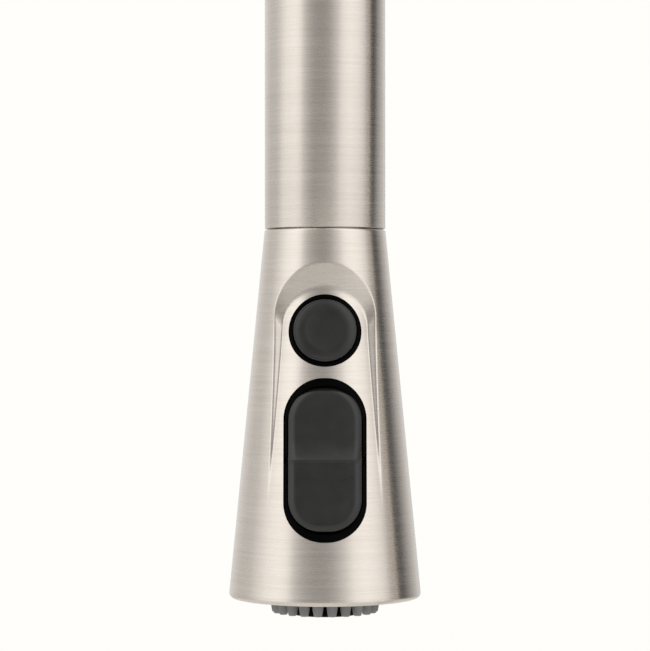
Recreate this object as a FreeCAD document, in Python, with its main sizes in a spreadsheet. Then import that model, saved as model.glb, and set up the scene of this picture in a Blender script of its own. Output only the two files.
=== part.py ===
"""A pull-down kitchen faucet: gooseneck spout, spray head with two buttons, side lever, deck fixing.

Millimetres, +Z up. The origin is the centre of the deck hole, on the deck's upper face. The spout points
to -X, the spray head's buttons face -Y, and the lever is on the -Y side of the body.
"""

import FreeCAD, Part
import math
import os
from types import SimpleNamespace

import Sketcher

os.makedirs("parts", exist_ok=True)
doc = FreeCAD.newDocument("faucet")

# ---------------------------------------------------------------- driving dimensions (sheet "dims")

DIMENSIONS = [
    # spout
    ("tube_radius", 15.0), ("tube_wall", 1.2), ("reach", 200.0), ("seam_height", 274.0),
    ("straight_leg", 62.0), ("hose_radius", 5.6), ("hose_bore", 3.7),
    # clearances and common walls
    ("gap", 0.3), ("fit", 0.1), ("thin", 0.8), ("wall", 1.5), ("thick", 2.5), ("edge", 0.6),
    # spray head: cone, rim and scooped panel
    ("head_depth", 91.5), ("cone_depth", 90.3), ("face_radius", 23.8), ("rim_round", 1.2),
    ("rim_bore", 22.0), ("rim_seat", 86.0), ("throat_bore", 11.0), ("waist_depth", 70.0),
    ("waist_bore", 20.2), ("collar_radius", 12.2), ("collar_bore", 10.9), ("collar_height", 17.6),
    ("collar_seat", 6.0), ("panel_tilt", 8.2), ("flush_depth", 62.4), ("arch_depth", 25.2),
    ("arch_radius", 10.55), ("arch_shift", 1.53), ("arch_growth", 0.9), ("arch_foot", 13.45),
    ("arch_foot_depth", 61.5), ("scoop_reach", 4.0),
    # buttons
    ("pause_depth", 25.2), ("pause_opening", 8.9), ("pause_radius", 7.65), ("pause_dish", 5.4),
    ("pause_plunger", 2.4), ("rocker_drop", 31.52), ("rocker_open_width", 20.2),
    ("rocker_open_height", 39.8), ("rocker_width", 17.7), ("rocker_height", 34.5),
    ("rocker_corner", 8.6), ("rocker_crest", 1.6), ("rocker_pivot", 3.0), ("rocker_arm", 9.6),
    ("pin_radius", 1.0), ("carrier_back", 6.4), ("carrier_front", 5.0),
    ("carrier_width", 17.6), ("bezel_sink", 0.25),
    # inside the head
    ("nut_radius", 10.2), ("nut_flats", 8.7), ("nut_top", 17.0), ("nut_shoulder", 8.2),
    ("nipple_radius", 8.2), ("nipple_bore", 5.6), ("nipple_top", 4.6), ("nipple_foot", 16.0),
    ("block_radius", 7.9), ("block_foot", 76.7), ("channel", 2.4), ("spool_radius", 2.9),
    ("spool_bore", 3.2), ("spool_offset", 4.4), ("spool_top", 50.0), ("spool_foot", 66.0),
    ("manifold_radius", 20.2), ("manifold_foot", 87.6), ("aerator_radius", 8.8), ("aerator_foot", 95.7),
    ("face_top", 87.8), ("face_foot", 90.6), ("nozzle_ring", 12.15), ("nozzle_count", 22),
    ("nozzle_root", 1.5), ("nozzle_tip", 1.0), ("nozzle_foot", 95.2), ("nozzle_hole", 0.45),
    # hose end
    ("tail_stem", 4.4), ("tail_bore", 2.6), ("ferrule_radius", 8.0), ("ferrule_foot", 19.0),
    ("ferrule_top", 36.0), ("hose_foot", -98.0), ("plug_radius", 5.0), ("plug_length", 20.0),
    # dock in the spout's end
    ("dock_bore", 12.5), ("dock_length", 24.6), ("magnet_foot", 19.4), ("magnet_bore", 9.2),
    # body
    ("body_top", 120.0), ("body_foot", 6.0), ("body_radius", 25.0), ("swivel_bore", 14.05),
    ("swivel_seat", 86.2), ("hose_passage", 7.2), ("cavity_top", 55.0), ("cavity_radius", 14.75),
    ("base_radius", 27.5), ("guide_radius", 11.9), ("guide_top", 160.0), ("sleeve_bore", 12.3),
    # deck fixing
    ("shank_radius", 16.5), ("shank_foot", -62.0), ("shank_top", 24.0), ("deck", 30.0),
    ("nut_outer", 24.0), ("tube_ring", 10.6), ("supply_radius", 4.0), ("supply_bore", 3.0),
    ("supply_foot", -85.0), ("supply_end", 18.0), ("plain_length", 28.0), ("supply_angle", 52.0),
    # valve, measured outwards along its axis from the body's axis
    ("valve_height", 72.0), ("boss_radius", 16.4), ("boss_end", 24.5), ("pocket_radius", 12.7),
    ("pocket_floor", 11.8), ("pocket_thread", 14.2), ("thread_start", 20.0), ("pivot", 30.0),
    ("cartridge_radius", 12.4), ("dome_radius", 17.0), ("hub_bore", 17.5), ("hub_radius", 19.7),
    ("hub_front", 47.5), ("stem_radius", 3.2), ("lever_out", 34.0), ("lever_length", 107.0),
    ("lever_root", 4.6), ("lever_tip", 3.5), ("screw_out", 41.0),
]

sheet = doc.addObject("Spreadsheet::Sheet", "dims")
for row, (name, value) in enumerate(DIMENSIONS, start=1):
    sheet.set(f"A{row}", str(value))
    sheet.setAlias(f"A{row}", name)
doc.recompute()


class Size:
    """A length or angle: its value now, and the formula that keeps it bound to the sheet."""

    def __init__(self, value, formula):
        self.value = value
        self.formula = formula

    def __add__(self, other):
        other = size(other)
        return Size(self.value + other.value, f"({self.formula} + {other.formula})")

    def __sub__(self, other):
        other = size(other)
        return Size(self.value - other.value, f"({self.formula} - {other.formula})")

    def __mul__(self, other):
        other = size(other)
        return Size(self.value * other.value, f"({self.formula} * {other.formula})")

    def __truediv__(self, other):
        other = size(other)
        return Size(self.value / other.value, f"({self.formula} / {other.formula})")

    def __radd__(self, other):
        return size(other) + self

    def __rsub__(self, other):
        return size(other) - self

    def __rmul__(self, other):
        return size(other) * self

    def __neg__(self):
        return Size(-self.value, f"(0 - {self.formula})")


def size(number):
    """A Size made of a plain number, or the Size itself."""
    if isinstance(number, Size):
        return number
    return Size(float(number), f"({float(number)!r})")


def sine(angle):
    return Size(math.sin(math.radians(angle.value)), f"sin({angle.formula} * 1 deg)")


def cosine(angle):
    return Size(math.cos(math.radians(angle.value)), f"cos({angle.formula} * 1 deg)")


def root(square):
    return Size(math.sqrt(square.value), f"sqrt({square.formula})")


D = SimpleNamespace(**{name: Size(float(value), f"dims.{name}") for name, value in DIMENSIONS})


# ---------------------------------------------------------------- helpers

def bind(thing, path, value):
    """Bind one property of a document object to the sheet."""
    thing.setExpression(path, size(value).formula)


def put(thing, x=0, y=0, z=0, axis=None, angle=0):
    """Place an object, with its position bound to the sheet."""
    turn = FreeCAD.Rotation()
    if axis:
        turn = FreeCAD.Rotation(FreeCAD.Vector(*axis), size(angle).value)
    base = FreeCAD.Vector(size(x).value, size(y).value, size(z).value)
    thing.Placement = FreeCAD.Placement(base, turn)
    bind(thing, "Placement.Base.x", x)
    bind(thing, "Placement.Base.y", y)
    bind(thing, "Placement.Base.z", z)
    if isinstance(angle, Size):
        bind(thing, "Placement.Rotation.Angle", angle)
    return thing


def body(label):
    new = doc.addObject("PartDesign::Body", label)
    new.Label = label
    return new


def plane_sketch(owner, name, role, offset=0):
    """A sketch on one of the body's own origin planes, raised along that plane's normal."""
    sketch = owner.newObject("Sketcher::SketchObject", name)
    plane = [feature for feature in owner.Origin.OriginFeatures if feature.Role == role][0]
    sketch.AttachmentSupport = [(plane, "")]
    sketch.MapMode = "FlatFace"
    lift = FreeCAD.Vector(0, 0, size(offset).value)
    sketch.AttachmentOffset = FreeCAD.Placement(lift, FreeCAD.Rotation())
    bind(sketch, "AttachmentOffset.Base.z", offset)
    return sketch


def fix_point(sketch, line, end, x, y):
    """Hold one end of a sketch line at a bound distance from the sketch's origin."""
    for kind, value in (("DistanceX", size(x)), ("DistanceY", size(y))):
        index = sketch.addConstraint(Sketcher.Constraint(kind, line, end, value.value))
        sketch.setExpression(f"Constraints[{index}]", value.formula)


def outline(sketch, points, arcs=()):
    """A closed outline through bound points. arcs maps an edge's number to its (x, y, radius)."""
    corners = [FreeCAD.Vector(size(x).value, size(y).value, 0) for x, y in points]
    count = len(points)
    arcs = dict(arcs)
    ends = []
    for i in range(count):
        start, stop = corners[i], corners[(i + 1) % count]
        if i not in arcs:
            sketch.addGeometry(Part.LineSegment(start, stop), False)
            ends.append((1, 2))
            continue
        centre = FreeCAD.Vector(size(arcs[i][0]).value, size(arcs[i][1]).value, 0)
        circle = Part.Circle(centre, FreeCAD.Vector(0, 0, 1), size(arcs[i][2]).value)
        first = math.atan2(start.y - centre.y, start.x - centre.x)
        last = math.atan2(stop.y - centre.y, stop.x - centre.x)
        forward = first < last
        sketch.addGeometry(Part.ArcOfCircle(circle, min(first, last), max(first, last)), False)
        ends.append((1, 2) if forward else (2, 1))
    for i in range(count):
        following = (i + 1) % count
        joint = Sketcher.Constraint("Coincident", i, ends[i][1], following, ends[following][0])
        sketch.addConstraint(joint)
    for i, (x, y) in enumerate(points):
        fix_point(sketch, i, ends[i][0], x, y)
    for i, (_, _, radius) in arcs.items():
        held = sketch.addConstraint(Sketcher.Constraint("Radius", i, size(radius).value))
        bind(sketch, f"Constraints[{held}]", radius)


def circles(sketch, rings):
    """Full circles, each given as (x, y, radius)."""
    for x, y, radius in rings:
        centre = FreeCAD.Vector(size(x).value, size(y).value, 0)
        up = FreeCAD.Vector(0, 0, 1)
        index = sketch.addGeometry(Part.Circle(centre, up, size(radius).value), False)
        fix_point(sketch, index, 3, x, y)
        hold = Sketcher.Constraint("Radius", index, size(radius).value)
        held = sketch.addConstraint(hold)
        bind(sketch, f"Constraints[{held}]", radius)


def revolve(owner, name, points, arcs=()):
    """A full turn of an (r, z) outline about the body's Z axis."""
    sketch = plane_sketch(owner, f"{name}_outline", "XZ_Plane")
    outline(sketch, points, arcs)
    turn = owner.newObject("PartDesign::Revolution", name)
    turn.Profile = sketch
    turn.ReferenceAxis = (sketch, ["V_Axis"])
    turn.Angle = 360
    return turn


def turned(label, points, arcs=(), **place):
    """A part turned on a lathe, from its (r, z) outline."""
    part = body(label)
    revolve(part, f"{label}_turn", points, arcs)
    return put(part, **place)


def pad(owner, name, sketch, length):
    extrusion = owner.newObject("PartDesign::Pad", name)
    extrusion.Profile = sketch
    extrusion.Length = size(length).value
    bind(extrusion, "Length", length)
    return extrusion


def cylinder(name, radius, height, **place):
    rod = doc.addObject("Part::Cylinder", name)
    bind(rod, "Radius", radius)
    bind(rod, "Height", height)
    return put(rod, **place)


def box(name, length, width, height, **place):
    block = doc.addObject("Part::Box", name)
    bind(block, "Length", length)
    bind(block, "Width", width)
    bind(block, "Height", height)
    return put(block, **place)


def ring(name, centre_radius, section_radius, **place):
    torus = doc.addObject("Part::Torus", name)
    bind(torus, "Radius1", centre_radius)
    bind(torus, "Radius2", section_radius)
    return put(torus, **place)


def joined(label, pieces):
    group = doc.addObject("Part::MultiFuse", label)
    group.Shapes = pieces
    return group


def bundle(label, pieces):
    """Separate solids that share one node."""
    group = doc.addObject("Part::Compound", label)
    group.Links = pieces
    return group


def cut(label, base, tools):
    """The base with each tool taken out of it in turn, or a long row of tools all at once."""
    many = 12
    if len(tools) > many:
        tools = [joined(f"{label}_tools", tools)]
    for i, tool in enumerate(tools):
        last = i == len(tools) - 1
        result = doc.addObject("Part::Cut", label if last else f"{label}_cut_{i}")
        result.Base = base
        result.Tool = tool
        base = result
    return base


def common(label, base, tool):
    result = doc.addObject("Part::Common", label)
    result.Base = base
    result.Tool = tool
    return result


def turn_about_z(name, source, count, x=0, y=0):
    """Copies of one object, evenly turned about a vertical line."""
    copies = []
    for i in range(count):
        copy = doc.addObject("Part::Feature", f"{name}_{i}")
        doc.recompute([source])
        shape = source.Shape.copy()
        centre = FreeCAD.Vector(size(x).value, size(y).value, 0)
        shape.rotate(centre, FreeCAD.Vector(0, 0, 1), 360.0 * i / count)
        copy.Shape = shape
        copies.append(copy)
    return copies


parts = {}


def keep(label, thing):
    """Register a finished sub-part under its node name."""
    thing.Label = label
    parts[label] = thing
    return thing


# ---------------------------------------------------------------- places

HEAD = dict(x=-D.reach, y=0, z=D.seam_height)
TAPER = (D.face_radius - D.tube_radius) / D.cone_depth
TILT_SINE = sine(D.panel_tilt)
TILT_COSINE = cosine(D.panel_tilt)
PANEL_SLOPE = TILT_SINE / TILT_COSINE
FLUSH_RADIUS = D.tube_radius + TAPER * D.flush_depth


def floor_radius(depth):
    """Radius of the scooped panel's floor at a depth below the seam."""
    return FLUSH_RADIUS - PANEL_SLOPE * (D.flush_depth - depth)


def panel(x=0, along=0, out=0):
    """A place on the panel: along runs up the panel from the pause button, out is its normal."""
    y = along * TILT_SINE - out * TILT_COSINE - floor_radius(D.pause_depth)
    z = along * TILT_COSINE + out * TILT_SINE + D.seam_height - D.pause_depth
    return dict(x=x - D.reach, y=y, z=z, axis=(1, 0, 0), angle=90 - D.panel_tilt)


def in_head(x=0, y=0, z=0):
    return dict(x=x - D.reach, y=y, z=z + D.seam_height)


VALVE = dict(x=0, y=0, z=D.valve_height, axis=(1, 0, 0), angle=90)


# ---------------------------------------------------------------- spray head: shell

def scoop_cutter():
    """What the scoop takes out of the head: an arch that widens outwards, down to the panel floor."""
    slope = PANEL_SLOPE.value
    foot = D.arch_foot_depth.value
    top = D.arch_depth.value

    def floor_at(depth):
        return FLUSH_RADIUS.value - slope * (D.flush_depth.value - depth)

    def arch(rise):
        """The arch's outline at a height above the panel floor, as a closed wire."""
        centre = top - D.arch_shift.value * rise
        radius = D.arch_radius.value + D.arch_growth.value * rise
        half_foot = D.arch_foot.value + D.arch_growth.value * rise

        def point(x, depth):
            reach = floor_at(depth) + rise
            return FreeCAD.Vector(x, -math.sqrt(reach * reach - x * x), -depth)

        steps = 12
        turns = [math.pi * i / steps for i in range(steps + 1)]
        crown = [point(radius * math.cos(a), centre - radius * math.sin(a)) for a in turns]
        levels = [(i + 1) / 6 for i in range(6)]
        widths = [radius + (half_foot - radius) * t ** 1.15 for t in levels]
        depths = [centre + (foot - centre) * t for t in levels]
        left = [point(-w, d) for w, d in zip(widths, depths)]
        right = [point(w, d) for w, d in zip(widths, depths)]
        last = D.flush_depth.value + 3.0
        sill = [point(-half_foot, last), point(0, last), point(half_foot, last)]
        crown_edge = Part.BSplineCurve()
        crown_edge.interpolate(crown)
        left_edge = Part.BSplineCurve()
        left_edge.interpolate([crown[-1]] + left + [sill[0]])
        right_edge = Part.BSplineCurve()
        right_edge.interpolate([sill[2]] + right[::-1] + [crown[0]])
        sill_edge = Part.Arc(*sill)
        edges = [e.toShape() for e in (crown_edge, left_edge, sill_edge, right_edge)]
        return Part.Wire(edges)

    inner, outer = arch(-1.0), arch(D.scoop_reach.value)
    walls = Part.makeLoft([inner, outer], False, True)
    middle = 40.0
    inner_tip = Part.Vertex(0, 0, -middle)
    outer_tip = Part.Vertex(0, -60.0, -middle)
    inner_cap = Part.makeLoft([inner_tip, inner], False, True)
    outer_cap = Part.makeLoft([outer, outer_tip], False, True)
    skin = Part.Shell(walls.Faces + inner_cap.Faces + outer_cap.Faces)
    arch_solid = Part.Solid(skin)
    if arch_solid.Volume < 0:
        arch_solid.reverse()
    bottom = D.flush_depth.value + 20.0
    cone = Part.makeCone(floor_at(0), floor_at(bottom), bottom, FreeCAD.Vector(0, 0, 0),
                         FreeCAD.Vector(0, 0, -1))
    return arch_solid.cut(cone)


def stadium(owner, name, width, height, corner, offset):
    """A sketch of a tall rounded outline: straight sides and four equal rounded corners."""
    sketch = plane_sketch(owner, name, "XY_Plane", offset)
    half, tall, bend = size(width) / 2, size(height) / 2, size(corner)
    stops = [
        (half, -(tall - bend)), (half, tall - bend), (half - bend, tall), (-(half - bend), tall),
        (-half, tall - bend), (-half, -(tall - bend)), (-(half - bend), -tall), (half - bend, -tall),
    ]
    spots = [FreeCAD.Vector(x.value, y.value, 0) for x, y in stops]
    centres = [
        (half - bend, tall - bend, 0, 90), (-(half - bend), tall - bend, 90, 180),
        (-(half - bend), -(tall - bend), 180, 270), (half - bend, -(tall - bend), 270, 360),
    ]
    up = FreeCAD.Vector(0, 0, 1)
    for i in range(4):
        sketch.addGeometry(Part.LineSegment(spots[2 * i], spots[2 * i + 1]), False)
        cx, cy, start, stop = centres[i]
        middle = Part.Circle(FreeCAD.Vector(cx.value, cy.value, 0), up, bend.value)
        arc = Part.ArcOfCircle(middle, math.radians(start), math.radians(stop))
        sketch.addGeometry(arc, False)
    for i in range(4):
        line, arc, following = 2 * i, 2 * i + 1, (2 * i + 2) % 8
        sketch.addConstraint(Sketcher.Constraint("Coincident", line, 2, arc, 1))
        sketch.addConstraint(Sketcher.Constraint("Coincident", arc, 2, following, 1))
        fix_point(sketch, line, 1, *stops[2 * i])
        fix_point(sketch, line, 2, *stops[2 * i + 1])
        held = sketch.addConstraint(Sketcher.Constraint("Radius", arc, bend.value))
        bind(sketch, f"Constraints[{held}]", bend)
    return sketch


ROCKER = panel(along=-D.rocker_drop)


def stadium_block(label, width, height, corner, low, high):
    block = body(label)
    pad(block, f"{label}_pad", stadium(block, f"{label}_outline", width, height, corner, low),
        size(high) - low)
    return put(block, **ROCKER)


def head_shell():
    cone = turned("head_cone", [
        (D.collar_radius + D.fit, -D.gap), (D.tube_radius, -D.gap),
        (D.face_radius, -D.cone_depth), (D.face_radius - D.rim_round, -D.head_depth),
        (D.rim_bore, -D.head_depth), (D.rim_bore, -D.rim_seat),
        (D.waist_bore, -D.waist_depth), (D.throat_bore + D.thin, -D.collar_seat),
        (D.collar_radius + D.fit, -D.collar_seat),
    ], {2: (D.face_radius - D.rim_round, -D.cone_depth, D.rim_round)}, **HEAD)
    scoop = doc.addObject("Part::Feature", "head_scoop")
    scoop.Shape = scoop_cutter()
    put(scoop, **HEAD)
    round_hole = cylinder("pause_hole", D.pause_opening, 14, **panel(out=-8))
    long_hole = stadium_block("rocker_hole", D.rocker_open_width, D.rocker_open_height,
                              D.rocker_corner + 1.2, -8, 6)
    return keep("head_shell", cut("head_shell", cone, [scoop, round_hole, long_hole]))


def docking_collar():
    """The steel collar that enters the spout's end and that the magnet holds by its top."""
    return keep("docking_collar", turned("docking_collar", [
        (D.collar_bore, -D.collar_seat + D.fit / 2), (D.collar_radius, -D.collar_seat + D.fit / 2),
        (D.collar_radius, D.collar_height), (D.collar_radius - D.edge, D.collar_height + D.wall),
        (D.collar_bore, D.collar_height + D.wall),
    ], **HEAD))


# ---------------------------------------------------------------- spray head: inlet

def hexagon(sketch, flats):
    """A regular hexagon whose opposite sides are twice flats apart."""
    corner = flats * 2 / root(size(3))
    outline(sketch, [
        (corner, 0), (corner / 2, flats), (-corner / 2, flats),
        (-corner, 0), (-corner / 2, -flats), (corner / 2, -flats),
    ])


def groove(owner, name, points):
    """Cut a full turn of an (r, z) outline out of a body."""
    sketch = plane_sketch(owner, f"{name}_outline", "XZ_Plane")
    outline(sketch, points)
    turn = owner.newObject("PartDesign::Groove", name)
    turn.Profile = sketch
    turn.ReferenceAxis = (sketch, ["V_Axis"])
    turn.Angle = 360
    return turn


def hose_nut():
    nut = body("hose_nut")
    low = -4
    round_part = plane_sketch(nut, "nut_round", "XY_Plane", low)
    circles(round_part, [(0, 0, D.nut_radius)])
    pad(nut, "nut_round_pad", round_part, D.nut_shoulder - low)
    flats = plane_sketch(nut, "nut_hexagon", "XY_Plane", D.nut_shoulder)
    hexagon(flats, D.nut_flats)
    pad(nut, "nut_hexagon_pad", flats, D.nut_top - D.nut_shoulder)
    groove(nut, "nut_bore", [
        (0, low - 1), (D.nipple_radius + D.fit, low - 1), (D.nipple_radius + D.fit, D.nut_shoulder),
        (D.tail_stem + D.gap, D.nut_shoulder), (D.tail_stem + D.gap, D.nut_top + 1),
        (0, D.nut_top + 1),
    ])
    return keep("hose_nut", put(nut, **HEAD))


VALVE_SEAT = 2.4


def inlet_nipple():
    """The threaded brass inlet, with the check valve's conical seat near its top."""
    flange = D.nut_radius + D.thin
    shelf = -D.nipple_foot + D.wall * 2
    return keep("inlet_nipple", turned("inlet_nipple", [
        (D.channel + D.thin, -D.nipple_foot), (flange, -D.nipple_foot), (flange, shelf),
        (D.nipple_radius, shelf), (D.nipple_radius, D.nipple_top), (D.nipple_bore, D.nipple_top),
        (D.nipple_bore, D.thick), (VALVE_SEAT + D.gap, D.edge), (D.tail_stem - D.fit, -D.edge),
        (D.tail_stem - D.fit, shelf), (D.channel + D.thin, shelf),
    ], **HEAD))


def filter_washer():
    low = D.nipple_top + D.fit
    washer = turned("filter_ring", [
        (D.tail_stem, low), (D.nipple_radius - D.fit, low),
        (D.nipple_radius - D.fit, low + D.wall), (D.tail_stem, low + D.wall),
    ], **HEAD)
    screen = turned("filter_screen", [
        (0, low - D.thin), (D.tail_stem - D.edge, low), (D.tail_stem, low),
        (D.tail_stem, low + D.gap), (D.tail_stem - D.edge, low + D.gap), (0, low - D.thin + D.gap),
    ], **HEAD)
    return keep("filter_washer", joined("filter_washer", [washer, screen]))


def check_valve_poppet():
    return keep("check_valve_poppet", turned("check_valve_poppet", [
        (0, D.gap), (VALVE_SEAT - 0.3, D.gap), (VALVE_SEAT + D.wall - 0.3, -1.2),
        (VALVE_SEAT + D.wall - 0.3, -2.4), (D.pin_radius, -2.4), (D.pin_radius, -8), (0, -8),
    ], **HEAD))


def spring(label, coil_radius, wire_radius, length, pitch, **place):
    """A compression spring: a round wire wound on a helix."""
    coil = body(label)
    wire = plane_sketch(coil, f"{label}_wire", "XZ_Plane")
    circles(wire, [(coil_radius, wire_radius, wire_radius)])
    winding = coil.newObject("PartDesign::AdditiveHelix", f"{label}_helix")
    winding.Profile = wire
    winding.ReferenceAxis = (wire, ["V_Axis"])
    winding.Mode = 0
    winding.Pitch = size(pitch).value
    winding.Height = (size(length) - size(wire_radius) * 2).value
    bind(winding, "Pitch", pitch)
    bind(winding, "Height", size(length) - size(wire_radius) * 2)
    return keep(label, put(coil, **place))


# ---------------------------------------------------------------- spray head: waterway and valves

def head_waterway():
    """The moulding behind the buttons: a round block, a flat saddle for the frame, and its bores."""
    top = D.nipple_foot + D.edge
    block = cylinder("waterway_block", D.block_radius, D.block_foot - top,
                     **in_head(z=-D.block_foot))
    saddle = box("waterway_saddle", 16.8, 55.5, 7.5, **panel(x=-8.4, along=-49,
                                                             out=-D.carrier_back - 7.55))
    foot = cylinder("waterway_foot", D.nut_radius, 5.5, **in_head(z=-D.block_foot))
    solid = joined("waterway_solid", [block, saddle, foot])
    pause_bore = cylinder("pause_bore", D.spool_bore - 0.1, 10, **panel(out=-D.carrier_back - 10))
    inlet = cylinder("waterway_inlet", D.channel, 9, **in_head(z=-top - 8))
    link = cylinder("waterway_link", D.channel, 24, **in_head(y=2.2, z=-47))
    spool_hole = cylinder("spool_bore_tool", D.spool_bore, D.spool_foot - D.spool_top + 8,
                          **in_head(y=-D.spool_offset, z=-D.spool_foot - 4))
    spool_port = cylinder("spool_port", 1.6, 5, **in_head(y=-4.5, z=-45))
    outlet = cylinder("waterway_outlet", D.channel, 32, **in_head(y=4.6, z=-77))
    arm_slot = box("arm_slot", 4.2, 22, 10, **in_head(x=-2.1, y=-24, z=-62.5))
    return keep("head_waterway", cut("head_waterway", solid, [
        pause_bore, inlet, link, spool_hole, spool_port, outlet, arm_slot,
        *screw_ring("waterway_screw_hole", 1.35, 6, -D.block_foot - 1)]))


def floor_cone(name, sink):
    """A solid whose side is the panel floor, sunk a little, for trimming what must follow it."""
    low, high = D.head_depth, size(4)
    return turned(name, [
        (0, -low), (floor_radius(low) - sink, -low), (floor_radius(high) - sink, -high), (0, -high),
    ], **HEAD)


def button_frame():
    """The black moulding behind the panel: a plate with a round and a long collar round the buttons."""
    plate_block = body("frame_plate")
    reach = D.rocker_drop + D.rocker_open_height / 2 + D.pause_opening - D.wall
    plate = stadium(plate_block, "frame_plate_outline", D.carrier_width, reach,
                    D.carrier_width / 2 - D.fit, -D.carrier_back)
    pad(plate_block, "frame_plate_pad", plate, D.carrier_back - D.carrier_front)
    put(plate_block, **panel(along=-(reach / 2 - D.pause_opening)))
    round_collar = cylinder("round_collar", D.pause_opening - D.fit, D.carrier_front + 2,
                            **panel(out=-D.carrier_front))
    long_collar = stadium_block("long_collar", D.rocker_open_width - D.fit * 2,
                                D.rocker_open_height - D.fit * 2, D.rocker_corner + 1.1,
                                -D.carrier_front, 3)
    blank = common("frame_blank", joined("frame_solid", [plate_block, round_collar, long_collar]),
                   floor_cone("frame_floor", D.bezel_sink))
    round_room = cylinder("round_room", D.pause_radius + D.gap, 12, **panel(out=-D.carrier_front))
    plunger_hole = cylinder("plunger_hole", D.tail_stem, 6, **panel(out=-D.carrier_back - 2))
    long_room = stadium_block("long_room", D.rocker_width + D.gap * 2, D.rocker_height + 1.6,
                              D.rocker_corner + 0.3, -D.carrier_front, 8)
    arm_window = box("arm_window", 4.4, 9, 6, **panel(x=-2.2, along=-D.rocker_drop - 5.5,
                                                     out=-D.carrier_back - 2))
    pin_place = panel(along=-D.rocker_drop, out=-D.rocker_pivot)
    pin_hole = cylinder("pin_hole", D.pin_radius + D.fit / 2, D.rocker_open_width - 0.8,
                        x=pin_place["x"] - D.rocker_open_width / 2 + 0.4,
                        y=pin_place["y"], z=pin_place["z"], axis=(0, 1, 0), angle=90)
    return keep("button_frame", cut("button_frame", blank, [
        round_room, plunger_hole, long_room, arm_window, pin_hole, *frame_screw_holes()]))


SCREW_SIDE = 6.7
SCREW_ALONG = -10.2


def frame_screw_holes():
    """Clearance for the two screws between the buttons."""
    return [cylinder(f"frame_screw_hole_{i}", 1.3, 4, **panel(x=side, along=SCREW_ALONG, out=-8))
            for i, side in enumerate((-SCREW_SIDE, SCREW_SIDE))]


def frame_screws():
    """Two small pan-head screws that hold the button frame to the waterway."""
    solids = []
    for i, side in enumerate((-SCREW_SIDE, SCREW_SIDE)):
        place = panel(x=side, along=SCREW_ALONG, out=-D.carrier_front)
        solids.append(turned(f"frame_screw_{i}", [
            (0, -1.35), (1.2, -1.35), (1.2, 0), (2.0, 0), (2.0, 0.7), (1.3, 1.2), (0.5, 1.2),
            (0.5, 0.6), (0, 0.6),
        ], **place))
    return keep("frame_screws", bundle("frame_screws", solids))


def pause_button():
    """The round cap, dished in the middle, with its plunger moulded behind it."""
    under = -D.thin
    skirt = -2
    return keep("pause_button", turned("pause_button", [
        (0, 0.8), (D.pause_dish - 1.8, 0.8), (D.pause_dish - 0.8, 1.05), (D.pause_dish - 0.2, 1.28),
        (D.pause_dish + 0.4, 1.35),
        (D.pause_radius - 0.5, 0.8), (D.pause_radius, 0.3), (D.pause_radius, skirt),
        (D.pause_radius - D.wall, skirt), (D.pause_radius - D.wall, under),
        (D.pause_plunger, under), (D.pause_plunger, -10.2), (D.pause_plunger - 0.6, -11), (0, -11),
    ], **panel()))


def rocker_button():
    """The long button: a sunk upper half that sweeps up to a crest, and a proud lower half."""
    tall = D.rocker_height / 2
    block = stadium_block("rocker_block", D.rocker_width, D.rocker_height, D.rocker_corner, -4.5, 6)
    side = body("rocker_side")
    profile = plane_sketch(side, "rocker_side_outline", "YZ_Plane", -D.rocker_width)
    outline(profile, [
        (tall + 1, -3), (tall + 1, -1.1), (tall, -0.5), (tall - 3, -0.55), (6.5, -0.5), (5.0, -0.4),
        (3.6, -0.1), (2.2, 0.45), (0.9, D.rocker_crest - 0.45), (0.1, D.rocker_crest - 0.05),
        (-0.4, D.rocker_crest), (-0.9, D.rocker_crest - 0.2),
        (-6, D.rocker_crest - 0.05), (-12, D.rocker_crest + 0.1), (-tall, D.rocker_crest - 0.1),
        (-tall - 1, D.rocker_crest - 0.6), (-tall - 1, -2.2), (0, -2.2),
    ])
    pad(side, "rocker_side_pad", profile, D.rocker_width * 2)
    put(side, **ROCKER)
    cap = common("rocker_cap", block, side)
    place = panel(along=-D.rocker_drop, out=-D.rocker_pivot)
    lugs = []
    for i, start in enumerate((-D.rocker_width / 2 + D.thin, D.rocker_width / 2 - D.thin * 3.5)):
        lugs.append(cylinder(f"rocker_lug_{i}", D.pin_radius * 2, D.thin * 2.5, x=place["x"] + start,
                             y=place["y"], z=place["z"], axis=(0, 1, 0), angle=90))
    arm_box = box("rocker_arm", 2.4, 4.0, D.rocker_arm + 0.6,
                  **panel(x=-1.2, along=-D.rocker_drop - 2, out=-D.rocker_pivot - D.rocker_arm + 1))
    tip = cylinder("rocker_tip", 1.2, 2.4, x=place["x"] - 1.2, y=place["y"] + D.rocker_arm,
                   z=place["z"] - 1.12, axis=(0, 1, 0), angle=90)
    solid = joined("rocker_solid", [cap, *lugs, arm_box, tip])
    bore = cylinder("rocker_bore", D.pin_radius + D.fit, D.rocker_width + 2,
                    x=place["x"] - D.rocker_width / 2 - 1, y=place["y"], z=place["z"],
                    axis=(0, 1, 0), angle=90)
    return keep("rocker_button", cut("rocker_button", solid, [bore]))


def rocker_pin():
    place = panel(along=-D.rocker_drop, out=-D.rocker_pivot)
    length = D.rocker_open_width - 1.2
    return keep("rocker_pin", cylinder("rocker_pin", D.pin_radius, length, x=place["x"] - length / 2,
                                       y=place["y"], z=place["z"], axis=(0, 1, 0), angle=90))


SEAL_SEAT = 2.2
SEAL_SECTION = 0.42


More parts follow.
